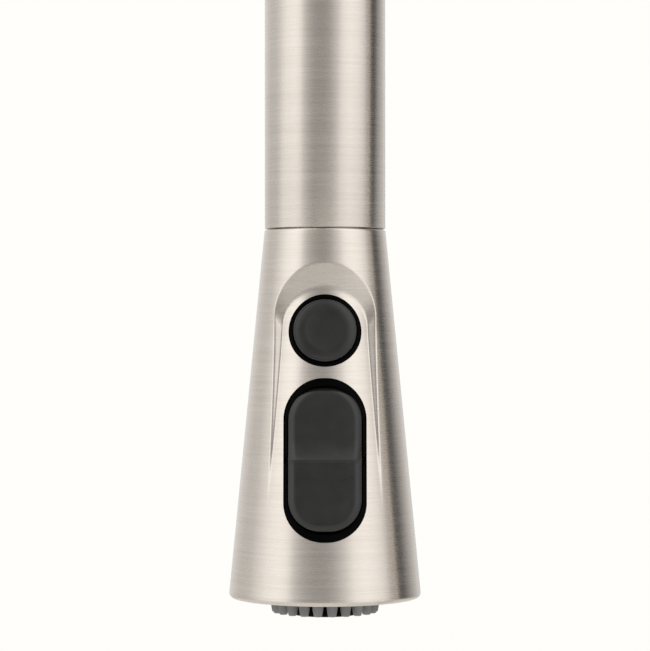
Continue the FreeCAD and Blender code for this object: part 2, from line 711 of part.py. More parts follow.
def diverter():
    """The spool that the rocker's arm moves, and its two O-rings."""
    slots = ((-64.4, -63.2, SEAL_SEAT), (-60.2, -55.8, 1.5), (-54.0, -52.8, SEAL_SEAT))
    points = [(0, -D.spool_foot), (D.spool_radius, -D.spool_foot)]
    for low, high, waist in slots:
        points += [(D.spool_radius, low), (waist, low), (waist, high), (D.spool_radius, high)]
    points += [(D.spool_radius, -D.spool_top), (0, -D.spool_top)]
    keep("diverter_spool", turned("diverter_spool", points, **in_head(y=-D.spool_offset)))
    rings = [ring(f"spool_ring_{i}", SEAL_SEAT + SEAL_SECTION, SEAL_SECTION,
                  **in_head(y=-D.spool_offset, z=slots[i][0] + 0.6)) for i in (0, 2)]
    keep("diverter_o_rings", bundle("diverter_o_rings", rings))


# ---------------------------------------------------------------- spray head: outlet

def spray_manifold():
    top = -D.block_foot - D.fit
    tube = D.aerator_radius + D.fit
    blank = turned("manifold_blank", [
        (4.0, top), (D.manifold_radius - 0.8, top), (D.manifold_radius, top - D.thick),
        (D.manifold_radius + D.thin, -D.manifold_foot),
        (D.manifold_radius - D.wall, -D.manifold_foot),
        (D.manifold_radius - D.wall, top - D.thick), (tube + D.wall, top - D.thick),
        (tube + D.wall, -D.manifold_foot + 1), (tube, -D.manifold_foot + 1), (tube, top - D.thick),
        (4.0, top - D.thick),
    ], **HEAD)
    passage = cylinder("manifold_passage", D.channel, 6, **in_head(y=14, z=-82))
    holes = screw_ring("manifold_screw_hole", 1.5, 6, -82)
    return keep("spray_manifold", cut("spray_manifold", blank, [passage, *holes]))


def screw_ring(name, radius, height, z):
    """Three cylinders round the head's axis, clear of the spool's bore."""
    around = 7.0
    made = []
    for i, angle in enumerate((90, 210, 330)):
        x = around * math.cos(math.radians(angle))
        y = around * math.sin(math.radians(angle))
        made.append(cylinder(f"{name}_{i}", radius, height, **in_head(x=x, y=y, z=z)))
    return made


def spray_face():
    blank = turned("face_blank", [
        (D.aerator_radius + D.edge, -D.face_foot), (D.rim_bore - D.fit - D.edge, -D.face_foot),
        (D.rim_bore - D.fit, -D.face_foot + D.edge), (D.rim_bore - D.fit, -D.face_top),
        (D.aerator_radius + D.edge, -D.face_top),
    ], **HEAD)
    first = cylinder("face_hole", D.nozzle_root + D.fit / 2, D.thick * 2,
                     **in_head(x=D.nozzle_ring, z=-D.face_foot - 1))
    holes = turn_about_z("face_holes", first, int(D.nozzle_count.value), x=-D.reach)
    return keep("spray_face", cut("spray_face", blank, holes))


def nozzle_mat():
    """The soft sheet behind the face, with its ring of nozzles standing through the face."""
    top = -D.face_top + D.fit + D.thin * 1.2
    web = turned("mat_web", [
        (D.aerator_radius + D.wall + D.gap, -D.face_top + D.fit / 2), (14.2, -D.face_top + D.fit / 2),
        (14.2, top), (D.aerator_radius + D.wall + D.gap, top),
    ], **HEAD)
    nub = turned("nozzle_nub", [
        (D.nozzle_hole, -D.nozzle_foot), (D.nozzle_tip, -D.nozzle_foot),
        (D.nozzle_root, -D.face_foot), (D.nozzle_root, top - 0.2), (D.nozzle_hole, top - 0.2),
    ], **in_head(x=D.nozzle_ring))
    nubs = turn_about_z("nozzles", nub, int(D.nozzle_count.value), x=-D.reach)
    bore = cylinder("nozzle_bore", D.nozzle_hole, 12, **in_head(x=D.nozzle_ring, z=-D.nozzle_foot - 1))
    bores = turn_about_z("nozzle_bores", bore, int(D.nozzle_count.value), x=-D.reach)
    return keep("nozzle_mat", cut("nozzle_mat", joined("mat_solid", [web, *nubs]), bores))


def aerator():
    top = -D.block_foot - D.fit - D.thick - D.wall - D.gap
    keep("aerator_housing", turned("aerator_housing", [
        (D.aerator_radius - D.wall, top), (D.aerator_radius, top),
        (D.aerator_radius, D.edge - D.aerator_foot), (D.aerator_radius - D.edge, -D.aerator_foot),
        (D.aerator_radius - D.wall, -D.aerator_foot),
    ], **HEAD))
    disc = turned("aerator_disc", [
        (0, D.thin - D.aerator_foot), (D.aerator_radius - D.wall - D.fit, D.thin - D.aerator_foot),
        (D.aerator_radius - D.wall - D.fit, -D.face_foot), (0, -D.face_foot),
    ], **HEAD)
    holes = []
    for count, around in ((6, 2.2), (12, 4.4), (18, 6.3)):
        first = cylinder(f"mesh_hole_{count}", 0.75, 7, **in_head(x=around, z=-96))
        holes += turn_about_z(f"mesh_holes_{count}", first, count, x=-D.reach)
    keep("aerator_insert", cut("aerator_insert", disc, holes))


def manifold_screws():
    """Three screws that hold the manifold up against the waterway."""
    top = -D.block_foot - D.fit - D.thick
    solids = []
    for i, angle in enumerate((90, 210, 330)):
        x = 7.0 * math.cos(math.radians(angle))
        y = 7.0 * math.sin(math.radians(angle))
        solids.append(turned(f"manifold_screw_{i}", [
            (0, top - D.wall), (1.7, top - D.wall), (1.7, top), (1.3, top),
            (1.3, -D.block_foot + 4), (0, -D.block_foot + 4.6),
        ], **in_head(x=x, y=y)))
    return keep("manifold_screws", bundle("manifold_screws", solids))


# ---------------------------------------------------------------- hose

def hose_tail():
    flange_low = D.nipple_top + D.fit * 2 + D.wall
    return keep("hose_tail", turned("hose_tail", [
        (D.tail_bore, flange_low), (D.nipple_radius - D.gap, flange_low),
        (D.nipple_radius - D.gap, D.nut_shoulder - D.fit), (D.tail_stem, D.nut_shoulder - D.fit),
        (D.tail_stem, D.ferrule_foot + D.wall), (D.hose_bore - D.fit / 2, D.ferrule_foot + D.wall),
        (D.hose_bore - D.fit / 2, D.ferrule_top - 2), (D.tail_bore, D.ferrule_top - 2),
    ], **HEAD))


def hose_ferrule():
    inner = D.hose_radius + D.fit / 2
    return keep("hose_ferrule", turned("hose_ferrule", [
        (D.tail_stem + D.fit / 2, D.ferrule_foot), (D.ferrule_radius - D.edge, D.ferrule_foot),
        (D.ferrule_radius, D.ferrule_foot + D.edge), (D.ferrule_radius, 24.0),
        (D.ferrule_radius - 0.4, 24.6), (D.ferrule_radius - 0.4, 26.4), (D.ferrule_radius, 27.0),
        (D.ferrule_radius, D.ferrule_top - D.edge), (D.ferrule_radius - D.edge, D.ferrule_top),
        (inner, D.ferrule_top), (inner, D.ferrule_foot + D.wall),
        (D.tail_stem + D.fit / 2, D.ferrule_foot + D.wall),
    ], **HEAD))


def spray_hose_drop():
    return keep("spray_hose_drop", turned("spray_hose_drop", [
        (D.hose_bore, D.ferrule_foot + D.wall + D.fit), (D.hose_radius, D.ferrule_foot + D.wall + D.fit),
        (D.hose_radius, D.straight_leg), (D.hose_bore, D.straight_leg),
    ], **HEAD))


def gooseneck(label, outer, inner, start, stop):
    """A tube up the spout's leg, over a half circle and down the column to a height."""
    tube = body(label)
    path = plane_sketch(tube, f"{label}_path", "XZ_Plane")
    bend = D.reach / 2
    crown = FreeCAD.Vector(bend.value, D.straight_leg.value, 0)
    arch = Part.ArcOfCircle(Part.Circle(crown, FreeCAD.Vector(0, 0, 1), bend.value), 0, math.pi)
    left_top = FreeCAD.Vector(0, D.straight_leg.value, 0)
    right_top = FreeCAD.Vector(D.reach.value, D.straight_leg.value, 0)
    left_foot = FreeCAD.Vector(0, size(start).value, 0)
    right_foot = FreeCAD.Vector(D.reach.value, size(stop).value, 0)
    edges = []
    if size(start).value < D.straight_leg.value:
        edges.append(path.addGeometry(Part.LineSegment(left_foot, left_top), False))
        fix_point(path, edges[0], 1, 0, start)
        fix_point(path, edges[0], 2, 0, D.straight_leg)
    arc = path.addGeometry(arch, False)
    fix_point(path, arc, 3, bend, D.straight_leg)
    fix_point(path, arc, 1, D.reach, D.straight_leg)
    level = path.addConstraint(Sketcher.Constraint("DistanceY", arc, 2, D.straight_leg.value))
    bind(path, f"Constraints[{level}]", D.straight_leg)
    down = path.addGeometry(Part.LineSegment(right_top, right_foot), False)
    fix_point(path, down, 1, D.reach, D.straight_leg)
    fix_point(path, down, 2, D.reach, stop)
    section = plane_sketch(tube, f"{label}_section", "XY_Plane", start)
    circles(section, [(0, 0, outer), (0, 0, inner)])
    sweep = tube.newObject("PartDesign::AdditivePipe", f"{label}_sweep")
    sweep.Profile = section
    sweep.Spine = path
    return keep(label, put(tube, **HEAD))


def hose_end_fitting():
    """The crimped ferrule and plug on the hose's lower end, under the deck."""
    top = D.hose_foot
    return keep("hose_end_fitting", turned("hose_end_fitting", [
        (D.tail_bore, top), (D.hose_radius + D.edge, top), (D.hose_radius + D.edge, top - 14),
        (D.plug_radius, top - 14), (D.plug_radius, top - 14 - D.plug_length),
        (D.tail_bore, top - 14 - D.plug_length),
    ]))


# ---------------------------------------------------------------- dock and swivel

def dock_insert():
    outer = D.tube_radius - D.tube_wall - D.fit / 2
    return keep("dock_insert", turned("dock_insert", [
        (D.dock_bore + D.edge, D.edge), (outer, D.edge), (outer, D.dock_length + D.thick),
        (D.magnet_bore, D.dock_length + D.thick), (D.magnet_bore, D.dock_length),
        (D.dock_bore, D.dock_length), (D.dock_bore, D.edge * 3),
    ], **HEAD))


def dock_magnet():
    return keep("dock_magnet", turned("dock_magnet", [
        (D.magnet_bore, D.magnet_foot), (D.dock_bore, D.magnet_foot), (D.dock_bore, D.dock_length),
        (D.magnet_bore, D.dock_length),
    ], **HEAD))


def swivel_sleeve():
    """The sleeve fixed in the column's lower end, turning on the guide tube, grooved for its screw."""
    outer = D.tube_radius - D.tube_wall - D.fit / 2
    return keep("swivel_sleeve", turned("swivel_sleeve", [
        (D.sleeve_bore, 100), (outer, 100), (outer, 108.4), (outer - D.thin / 2, 108.4),
        (outer - D.thin / 2, 112.6), (outer, 112.6), (outer, 165), (D.sleeve_bore, 165),
    ]))


def wear_ring():
    return keep("wear_ring", turned("wear_ring", [
        (D.swivel_bore, D.body_top), (D.tube_radius - D.fit, D.body_top),
        (D.tube_radius - D.fit, D.body_top + D.edge - D.fit), (D.swivel_bore, D.body_top + D.edge - D.fit),
    ]))


GUIDE_SEALS = (106, 150)


def guide_tube():
    """The brass tube that the spout turns on, with a groove for each O-ring."""
    points = [(D.hose_passage, D.swivel_seat), (D.swivel_bore - D.fit, D.swivel_seat),
              (D.swivel_bore - D.fit, D.swivel_seat + D.wall * 2),
              (D.guide_radius, D.swivel_seat + D.wall * 2)]
    for level in GUIDE_SEALS:
        points += [(D.guide_radius, level - 0.8), (D.guide_radius - 1, level - 0.8),
                   (D.guide_radius - 1, level + 0.8), (D.guide_radius, level + 0.8)]
    points += [(D.guide_radius, D.guide_top - D.edge), (D.guide_radius - D.edge, D.guide_top),
               (D.hose_passage + D.edge, D.guide_top), (D.hose_passage, D.guide_top - D.edge)]
    return keep("guide_tube", turned("guide_tube", points))


def guide_o_rings():
    rings = [ring(f"guide_ring_{level}", D.guide_radius - 0.34, 0.62, z=level) for level in GUIDE_SEALS]
    return keep("guide_o_rings", bundle("guide_o_rings", rings))


def spout_screw():
    """The grub screw in the body's back that keeps the sleeve from lifting."""
    return keep("spout_screw", cylinder("spout_screw", 1.9, 2.2, x=13.5, z=110.5,
                                        axis=(0, 1, 0), angle=90))


# ---------------------------------------------------------------- body and deck fixing

def supply_places():
    """Where the hot, outlet and cold tubes stand round the hose."""
    side = D.tube_ring * sine(D.supply_angle)
    front = -D.tube_ring * cosine(D.supply_angle)
    return {"hot_tube": (-side, front), "outlet_tube": (0, -D.tube_ring), "cold_tube": (side, front)}


def body_housing():
    """The cast body: a tapered column with the cartridge's pocket, the swivel's bore and a cavity."""
    column = turned("body_column", [
        (0, D.body_foot), (D.body_radius, D.body_foot),
        (D.body_radius - 2.2, D.body_foot + 24), (D.body_radius - 4.1, D.body_foot + 48),
        (D.body_radius - 6.3, D.body_foot + 72), (D.tube_radius + 1.6, D.body_top - 18),
        (D.tube_radius, D.body_top), (0, D.body_top),
    ])
    bores = turned("body_bores", [
        (0, D.body_foot - 1), (D.shank_radius - D.fit, D.body_foot - 1),
        (D.shank_radius - D.fit, D.shank_top + D.thick), (D.cavity_radius, D.shank_top + D.thick),
        (D.cavity_radius, D.cavity_top), (D.hose_passage, D.cavity_top),
        (D.hose_passage, D.swivel_seat), (D.swivel_bore, D.swivel_seat),
        (D.swivel_bore, D.body_top + 1), (0, D.body_top + 1),
    ])
    boss = turned("body_boss", [
        (0, D.pocket_floor - 2), (D.boss_radius, D.pocket_floor - 2), (D.boss_radius, D.boss_end - 1.4),
        (D.boss_radius - 0.4, D.boss_end - 0.4), (D.boss_radius - 1.4, D.boss_end), (0, D.boss_end),
    ], **VALVE)
    pocket = turned("body_pocket", [
        (0, D.pocket_floor), (D.pocket_radius, D.pocket_floor), (D.pocket_radius, D.thread_start),
        (D.pocket_thread, D.thread_start), (D.pocket_thread, D.boss_end + 5), (0, D.boss_end + 5),
    ], **VALVE)
    bore = 2.2
    tools = [pocket, bores]
    for name, (x, y) in supply_places().items():
        tools.append(cylinder(f"{name}_socket", D.supply_radius - D.fit * 1.5, 4, x=x, y=y,
                              z=D.cavity_top - 1))
        tools.append(cylinder(f"{name}_riser", bore, 12, x=x, y=y, z=D.cavity_top))
    for side in (-1, 1):
        tools.append(cylinder(f"cross_drill_{side + 1}", bore, 6, x=side * 7.6, y=-6.8, z=68,
                              axis=(1, 0, 0), angle=90))
    tools.append(cylinder("outlet_drill", bore, 4, x=0, y=-9.2, z=64, axis=(1, 0, 0), angle=90))
    tools.append(cylinder("spout_screw_hole", 2.0, 8, x=12, z=110.5, axis=(0, 1, 0), angle=90))
    return keep("body_housing", cut("body_housing", joined("body_blank", [column, boss]), tools))


def base_ring():
    inner = D.shank_radius + D.thin
    return keep("base_ring", turned("base_ring", [
        (inner, 0), (22.8, 0), (22.8, 1.6), (26.2, 1.6), (26.2, 0), (D.base_radius, 0),
        (D.base_radius, 3.6), (D.base_radius - 0.5, 4.9), (D.body_radius + 1.2, D.body_foot - 0.3),
        (D.body_radius + 0.4, D.body_foot), (inner, D.body_foot),
    ]))


def base_seal():
    return keep("base_seal", turned("base_seal", [(22.9, 0), (26.1, 0), (26.1, 1.5), (22.9, 1.5)]))


def threaded_shank():
    """The hollow shank: plain where the deck is, a little thinner at its two threaded ends."""
    neck = D.shank_radius - D.fit * 2
    return keep("threaded_shank", turned("threaded_shank", [
        (D.cavity_radius, D.shank_foot), (neck - 1, D.shank_foot), (neck, D.shank_foot + 1),
        (neck, -D.plain_length), (D.shank_radius, -D.plain_length), (D.shank_radius, 0), (neck, 0),
        (neck, D.shank_top - 1), (neck - 1, D.shank_top), (D.cavity_radius, D.shank_top),
    ]))


def deck_fixing():
    """What clamps the faucet from below: two washers, a winged nut and its three screws."""
    inner = D.shank_radius + D.thin
    keep("rubber_washer", turned("rubber_washer", [
        (inner, -D.deck - 2.5), (26.5, -D.deck - 2.5), (26.5, -D.deck), (inner, -D.deck)]))
    keep("steel_washer", turned("steel_washer", [
        (inner, -D.deck - 4), (26.0, -D.deck - 4), (26.0, -D.deck - 2.5), (inner, -D.deck - 2.5)]))
    top = -D.deck - 4 - D.fit
    collar = turned("nut_ring", [
        (D.shank_radius + D.fit, top - 12), (20.2, top - 12), (20.2, top - 7), (D.nut_outer, top - 7),
        (D.nut_outer, top), (D.shank_radius + D.fit, top)])
    wings = []
    for i in range(3):
        angle = 60 + 120 * i
        wing = box(f"nut_wing_{i}", 9, 4, 8, x=18.5 * math.cos(math.radians(angle))
                   + 2 * math.sin(math.radians(angle)),
                   y=18.5 * math.sin(math.radians(angle)) - 2 * math.cos(math.radians(angle)),
                   z=top - 11.5, axis=(0, 0, 1), angle=angle)
        wings.append(wing)
    holes, screws = [], []
    for i in range(3):
        angle = math.radians(120 * i)
        x, y = 21.4 * math.cos(angle), 21.4 * math.sin(angle)
        holes.append(cylinder(f"nut_screw_hole_{i}", 2.1, 14, x=x, y=y, z=top - 13))
        screws.append(turned(f"mounting_screw_{i}", [
            (0, top - 16), (1.0, top - 18), (3.6, top - 18), (3.6, top - 14.5), (2.0, top - 14),
            (2.0, top - 0.6), (1.2, top), (0, top)], x=x, y=y))
    keep("mounting_nut", cut("mounting_nut", joined("nut_blank", [collar, *wings]), holes))
    keep("mounting_screws", bundle("mounting_screws", screws))


def supply_tubes():
    """Three copper tubes, sized at their lower ends for a fitting."""
    neck = D.supply_radius - D.fit * 2
    shoulder = D.supply_foot + D.supply_end
    top = D.cavity_top + 3
    for name, (x, y) in supply_places().items():
        keep(name, turned(name, [
            (D.supply_bore, D.supply_foot), (D.supply_radius, D.supply_foot),
            (D.supply_radius, shoulder), (neck, shoulder), (neck, top), (D.supply_bore, top),
        ], x=x, y=y))


# ---------------------------------------------------------------- valve and lever

SEAL_THICK = 0.8


def cartridge():
    """The ceramic cartridge, from its seals outwards to the rotor that holds the stem."""
    floor = D.pocket_floor + D.fit / 2
    ports = [(-7.6, -4, 2.6), (7.6, -4, 2.6), (0, -8, 2.6)]
    seals = []
    for i, (x, y, radius) in enumerate(ports):
        seal = body(f"port_seal_{i}")
        section = plane_sketch(seal, f"port_seal_section_{i}", "XY_Plane", floor)
        circles(section, [(x, y, radius + 1), (x, y, radius)])
        pad(seal, f"port_seal_pad_{i}", section, SEAL_THICK)
        seals.append(put(seal, **VALVE))
    keep("cartridge_seals", bundle("cartridge_seals", seals))
    levels = [floor + SEAL_THICK, size(15.4), size(17.2), size(18.6), size(20.6)]

    def plate(label, radius, low, high, holes):
        disc = body(label)
        section = plane_sketch(disc, f"{label}_section", "XY_Plane", low)
        circles(section, [(0, 0, radius), *holes])
        pad(disc, f"{label}_pad", section, high - low)
        return keep(label, put(disc, **VALVE))

    clear = D.fit / 2
    plate("cartridge_base", D.cartridge_radius, levels[0], levels[1], ports)
    plate("fixed_disc", size(11.4), levels[1], levels[2] - clear, ports)
    plate("moving_disc", size(7.8), levels[2], levels[3] - clear, [(0, -2.5, 3.4)])
    carrier = body("disc_carrier")
    revolve(carrier, "carrier_turn", [
        (0, levels[3]), (7.6, levels[3]), (7.6, levels[4]), (2.4, levels[4]), (2.4, levels[3] + 0.6),
        (0, levels[3] + 0.6)])
    keep("disc_carrier", put(carrier, **VALVE))
    keep("cartridge_housing", turned("cartridge_housing", [
        (11.6, levels[1]), (D.cartridge_radius, levels[1]), (D.cartridge_radius, 22), (10.2, 22),
        (10.2, 33.5), (8.8, 33.5), (8.8, 20.9), (11.6, 20.9)], **VALVE))
    rotor_blank = turned("rotor_blank", [(0, 20.9), (8.7, 20.9), (8.7, 34.6), (0, 34.6)], **VALVE)
    half = D.stem_radius + D.fit * 2
    slot_out = box("rotor_slot_out", half * 2, 11, 8, x=-half, y=-29.2, z=D.valve_height + half - 11,
                   axis=(1, 0, 0), angle=90)
    slot_in = box("rotor_slot_in", half * 2, 10.8, 13, x=-half, y=-18.5, z=D.valve_height - half,
                  axis=(1, 0, 0), angle=90)
    pin_hole = cylinder("rotor_pin_hole", 1.25, 20, x=-10, y=-D.pivot, z=D.valve_height,
                        axis=(0, 1, 0), angle=90)
    keep("cartridge_rotor", cut("cartridge_rotor", rotor_blank, [slot_out, slot_in, pin_hole]))
    stem = turned("stem_blank", [
        (0, 19.4), (1.5, 19.5), (2.1, 20.1), (1.5, 20.9), (1.5, 22.4), (D.stem_radius, 24.5),
        (D.stem_radius, 43.6), (D.stem_radius - 0.5, 44.1), (0, 44.1)], **VALVE)
    stem_hole = cylinder("stem_pin_hole", 1.25, 20, x=-10, y=-D.pivot, z=D.valve_height,
                         axis=(0, 1, 0), angle=90)
    keep("lever_stem", cut("lever_stem", stem, [stem_hole]))
    keep("stem_pin", cylinder("stem_pin", 1.2, 17, x=-8.5, y=-D.pivot, z=D.valve_height,
                              axis=(0, 1, 0), angle=90))


def bonnet_nut():
    """The ring nut that holds the cartridge down, with a hexagon for its spanner."""
    nut = body("bonnet_nut")
    collar = plane_sketch(nut, "bonnet_collar", "XY_Plane", D.thread_start + 0.2)
    circles(collar, [(0, 0, D.pocket_thread - D.fit)])
    pad(nut, "bonnet_collar_pad", collar, D.boss_end - D.thread_start)
    flats = plane_sketch(nut, "bonnet_hexagon", "XY_Plane", D.boss_end)
    hexagon(flats, size(12.0))
    pad(nut, "bonnet_hexagon_pad", flats, 4)
    groove(nut, "bonnet_bore", [
        (0, D.thread_start - 1), (D.cartridge_radius + D.fit, D.thread_start - 1),
        (D.cartridge_radius + D.fit, 22.05), (10.35, 22.05), (10.35, 32), (0, 32)])
    return keep("bonnet_nut", put(nut, **VALVE))


def on_ball(radius, out):
    """How far from the valve's axis a ball about the pivot stands, at a distance along the axis."""
    rise = size(out) - D.pivot
    return root(radius * radius - rise * rise)


def dome_cap():
    """The ball-shaped cover over the bonnet, open where the stem leaves it."""
    low, high = D.boss_end + D.fit / 2, D.pivot + 8.5
    inner = D.dome_radius - D.wall
    return keep("dome_cap", turned("dome_cap", [
        (on_ball(inner, low), low), (on_ball(D.dome_radius, low), low),
        (on_ball(D.dome_radius, high), high), (on_ball(inner, high), high),
    ], arcs={1: (0, D.pivot, D.dome_radius), 3: (0, D.pivot, inner)}, **VALVE))


def handle_hub():
    """The ball-shaped hub over the dome, its flat front, and the socket that takes the stem."""
    skirt = D.pivot + 1
    socket = size(8)
    socket_end = D.pivot + root(D.hub_bore * D.hub_bore - socket * socket)
    stem_room = D.stem_radius + D.fit / 2
    blank = turned("hub_blank", [
        (on_ball(D.hub_bore, skirt), skirt), (on_ball(D.hub_radius, skirt), skirt),
        (on_ball(D.hub_radius, D.hub_front), D.hub_front), (0, D.hub_front), (0, 44.2),
        (stem_room, 44.2), (stem_room, D.pivot + 7.5), (socket, D.pivot + 7.5), (socket, socket_end),
    ], arcs={1: (0, D.pivot, D.hub_radius), 8: (0, D.pivot, D.hub_bore)}, **VALVE)
    screw_room = cylinder("hub_screw_room", 2.0, 20, x=0, y=-D.screw_out, z=D.valve_height - 20)
    lever_room = cylinder("hub_lever_room", 3.1, 10, x=0, y=-D.lever_out, z=D.valve_height + 15)
    return keep("handle_hub", cut("handle_hub", blank, [screw_room, lever_room]))


def handle_lever():
    """The tapered rod, its threaded root in the hub's wall and its end rounded."""
    tip = D.lever_length
    return keep("handle_lever", turned("handle_lever", [
        (0, 17.4), (2.6, 17.4), (3.0, 17.8), (3.0, 19.8), (D.lever_root - 0.3, 19.8),
        (D.lever_root, 20.3), (D.lever_tip, tip - 2.2), (D.lever_tip - 0.5, tip - 0.8),
        (D.lever_tip - 1.6, tip), (0, tip)], x=0, y=-D.lever_out, z=D.valve_height))


def handle_set_screw():
    return keep("handle_set_screw", cylinder("handle_set_screw", 1.9, 4.4, x=0, y=-D.screw_out,
                                             z=D.valve_height - D.stem_radius - 4.5))


# ---------------------------------------------------------------- build

head_shell()
docking_collar()
hose_nut()
inlet_nipple()
filter_washer()
check_valve_poppet()
spring("check_valve_spring", 2.6, 0.3, 10.4, 1.7, **in_head(z=-D.nipple_foot + D.wall * 2 + D.fit / 2))
head_waterway()
button_frame()
frame_screws()
pause_button()
spring("pause_spring", 3.5, 0.3, 3.0, 1.0, **panel(out=-D.carrier_back + D.fit))
rocker_button()
rocker_pin()
diverter()
spray_manifold()
manifold_screws()
aerator()
nozzle_mat()
spray_face()
hose_tail()
hose_ferrule()
spray_hose_drop()
gooseneck("spray_hose_run", D.hose_radius, D.hose_bore, D.straight_leg, D.hose_foot - D.seam_height)
hose_end_fitting()
gooseneck("spout_tube", D.tube_radius, D.tube_radius - D.tube_wall, 0,
          D.body_top + D.edge - D.seam_height)
dock_insert()
dock_magnet()
swivel_sleeve()
wear_ring()
guide_tube()
guide_o_rings()
spout_screw()
body_housing()
base_ring()
base_seal()
threaded_shank()
deck_fixing()
supply_tubes()
cartridge()
bonnet_nut()
dome_cap()
handle_hub()
handle_lever()
handle_set_screw()
doc.recompute()

# ---------------------------------------------------------------- check and write

failed = [thing.Label for thing in doc.Objects if {"Invalid", "Error"} & set(thing.State)]
for label, thing in parts.items():
    shape = thing.Shape
    if shape.isNull() or not shape.isValid() or not shape.Solids or shape.Volume <= 0:
        failed.append(f"{label} has no valid shape")
if failed:
    raise RuntimeError("; ".join(failed))
for label, thing in parts.items():
    thing.Shape.exportStep(f"parts/{label}.step")
    print(label, len(thing.Shape.Solids), round(thing.Shape.Volume, 1))
print(len(parts), "nodes")
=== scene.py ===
"""Looks for a pull-down kitchen faucet in brushed nickel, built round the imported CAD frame."""
import math

import bmesh
import bpy
import numpy as np
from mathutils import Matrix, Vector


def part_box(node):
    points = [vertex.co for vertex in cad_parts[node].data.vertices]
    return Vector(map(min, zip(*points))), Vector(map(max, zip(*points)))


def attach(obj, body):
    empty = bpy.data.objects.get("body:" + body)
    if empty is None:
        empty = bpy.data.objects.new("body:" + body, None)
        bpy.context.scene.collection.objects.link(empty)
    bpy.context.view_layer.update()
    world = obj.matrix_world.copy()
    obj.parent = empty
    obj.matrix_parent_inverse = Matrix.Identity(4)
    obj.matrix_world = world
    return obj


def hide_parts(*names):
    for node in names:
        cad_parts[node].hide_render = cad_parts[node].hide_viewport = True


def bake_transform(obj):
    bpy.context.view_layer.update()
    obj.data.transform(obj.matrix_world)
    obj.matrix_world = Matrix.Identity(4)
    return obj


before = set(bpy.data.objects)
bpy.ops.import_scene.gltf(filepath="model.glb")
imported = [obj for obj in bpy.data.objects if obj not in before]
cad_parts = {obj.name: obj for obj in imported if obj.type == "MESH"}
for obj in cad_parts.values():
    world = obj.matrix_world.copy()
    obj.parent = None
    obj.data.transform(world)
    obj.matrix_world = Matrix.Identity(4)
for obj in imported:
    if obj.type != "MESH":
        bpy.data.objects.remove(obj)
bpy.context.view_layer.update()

MM = 0.001
HEAD_X = -200 * MM
BEND_RADIUS = 100 * MM
BEND_HEIGHT = 336 * MM
HEAD_MM = HEAD_X / MM


# ---------------------------------------------------------------- node helpers

class Nodes:
    """A node tree and a short way to add and link its nodes."""

    def __init__(self, tree):
        self.tree = tree

    def node(self, kind, **settings):
        made = self.tree.nodes.new(kind)
        for key, value in settings.items():
            setattr(made, key, value)
        return made

    def feed(self, socket, value):
        if isinstance(value, bpy.types.NodeSocket):
            self.tree.links.new(value, socket)
        else:
            socket.default_value = value

    def math(self, operation, *values):
        made = self.node("ShaderNodeMath", operation=operation)
        for socket, value in zip(made.inputs, values):
            self.feed(socket, value)
        return made.outputs[0]

    def vector(self, operation, *values):
        made = self.node("ShaderNodeVectorMath", operation=operation)
        for socket, value in zip(made.inputs, values):
            self.feed(socket, value)
        return made.outputs[0]

    def split(self, source):
        made = self.node("ShaderNodeSeparateXYZ")
        self.feed(made.inputs[0], source)
        return made.outputs

    def join(self, x, y, z):
        made = self.node("ShaderNodeCombineXYZ")
        for socket, value in zip(made.inputs, (x, y, z)):
            self.feed(socket, value)
        return made.outputs[0]

    def noise(self, place, stretch=(1, 1, 1), detail=3.0, roughness=0.5):
        """Noise whose grain is 1 / stretch metres along each axis."""
        made = self.node("ShaderNodeTexNoise")
        self.feed(made.inputs["Vector"], self.vector("MULTIPLY", place, stretch))
        made.inputs["Scale"].default_value = 1.0
        made.inputs["Detail"].default_value = detail
        made.inputs["Roughness"].default_value = roughness
        return made.outputs["Fac"]

    def between(self, fac, low, high, start=0.3, stop=0.7):
        """A number that goes from low to high as fac goes from start to stop."""
        made = self.node("ShaderNodeMapRange")
        for key, value in (("Value", fac), ("From Min", start), ("From Max", stop),
                           ("To Min", low), ("To Max", high)):
            self.feed(made.inputs[key], value)
        return made.outputs["Result"]

    def mixed(self, fac, one, other):
        made = self.node("ShaderNodeMix", data_type="RGBA")
        for key, value in (("Factor_Float", fac), ("A_Color", one), ("B_Color", other)):
            socket = next(s for s in made.inputs if s.identifier == key)
            if isinstance(value, tuple):
                value = (*value, 1.0)
            self.feed(socket, value)
        return next(s for s in made.outputs if s.identifier == "Result_Color")


class Paint(Nodes):
    """One material's nodes, which start from places on the object and end in its shader."""

    def __init__(self, name):
        self.material = bpy.data.materials.new(name)
        self.material.use_nodes = True
        super().__init__(self.material.node_tree)
        self.shader = self.tree.nodes["Principled BSDF"]
        self.coords = self.node("ShaderNodeTexCoord").outputs["Object"]

    def bump(self, height, distance, strength):
        made = self.node("ShaderNodeBump")
        made.inputs["Distance"].default_value = distance
        made.inputs["Strength"].default_value = strength
        self.feed(made.inputs["Height"], height)
        self.feed(self.shader.inputs["Normal"], made.outputs["Normal"])

    def set(self, **values):
        for key, value in values.items():
            self.feed(self.shader.inputs[key.replace("_", " ")], value)


# ---------------------------------------------------------------- brushed metal

def along_spout(paint):
    """Where a point lies along the spout's centre line, and the line's direction there."""
    x, y, z = paint.split(paint.coords)
    across = paint.math("ADD", x, BEND_RADIUS)
    rise = paint.math("SUBTRACT", z, BEND_HEIGHT)
    up = paint.math("MAXIMUM", rise, 0.0)
    down = paint.math("MINIMUM", rise, 0.0)
    turn = paint.math("ARCTAN2", up, paint.math("MULTIPLY", across, -1.0))
    run = paint.math("ADD", paint.math("MULTIPLY", turn, BEND_RADIUS),
                     paint.math("MULTIPLY", down, paint.math("COSINE", turn)))
    out = paint.math("SQRT", paint.math("ADD", paint.math("MULTIPLY", across, across),
                                        paint.math("MULTIPLY", up, up)))
    place = paint.join(out, y, run)
    direction = paint.join(up, 0.0, paint.math("MULTIPLY", across, -1.0))
    return place, direction


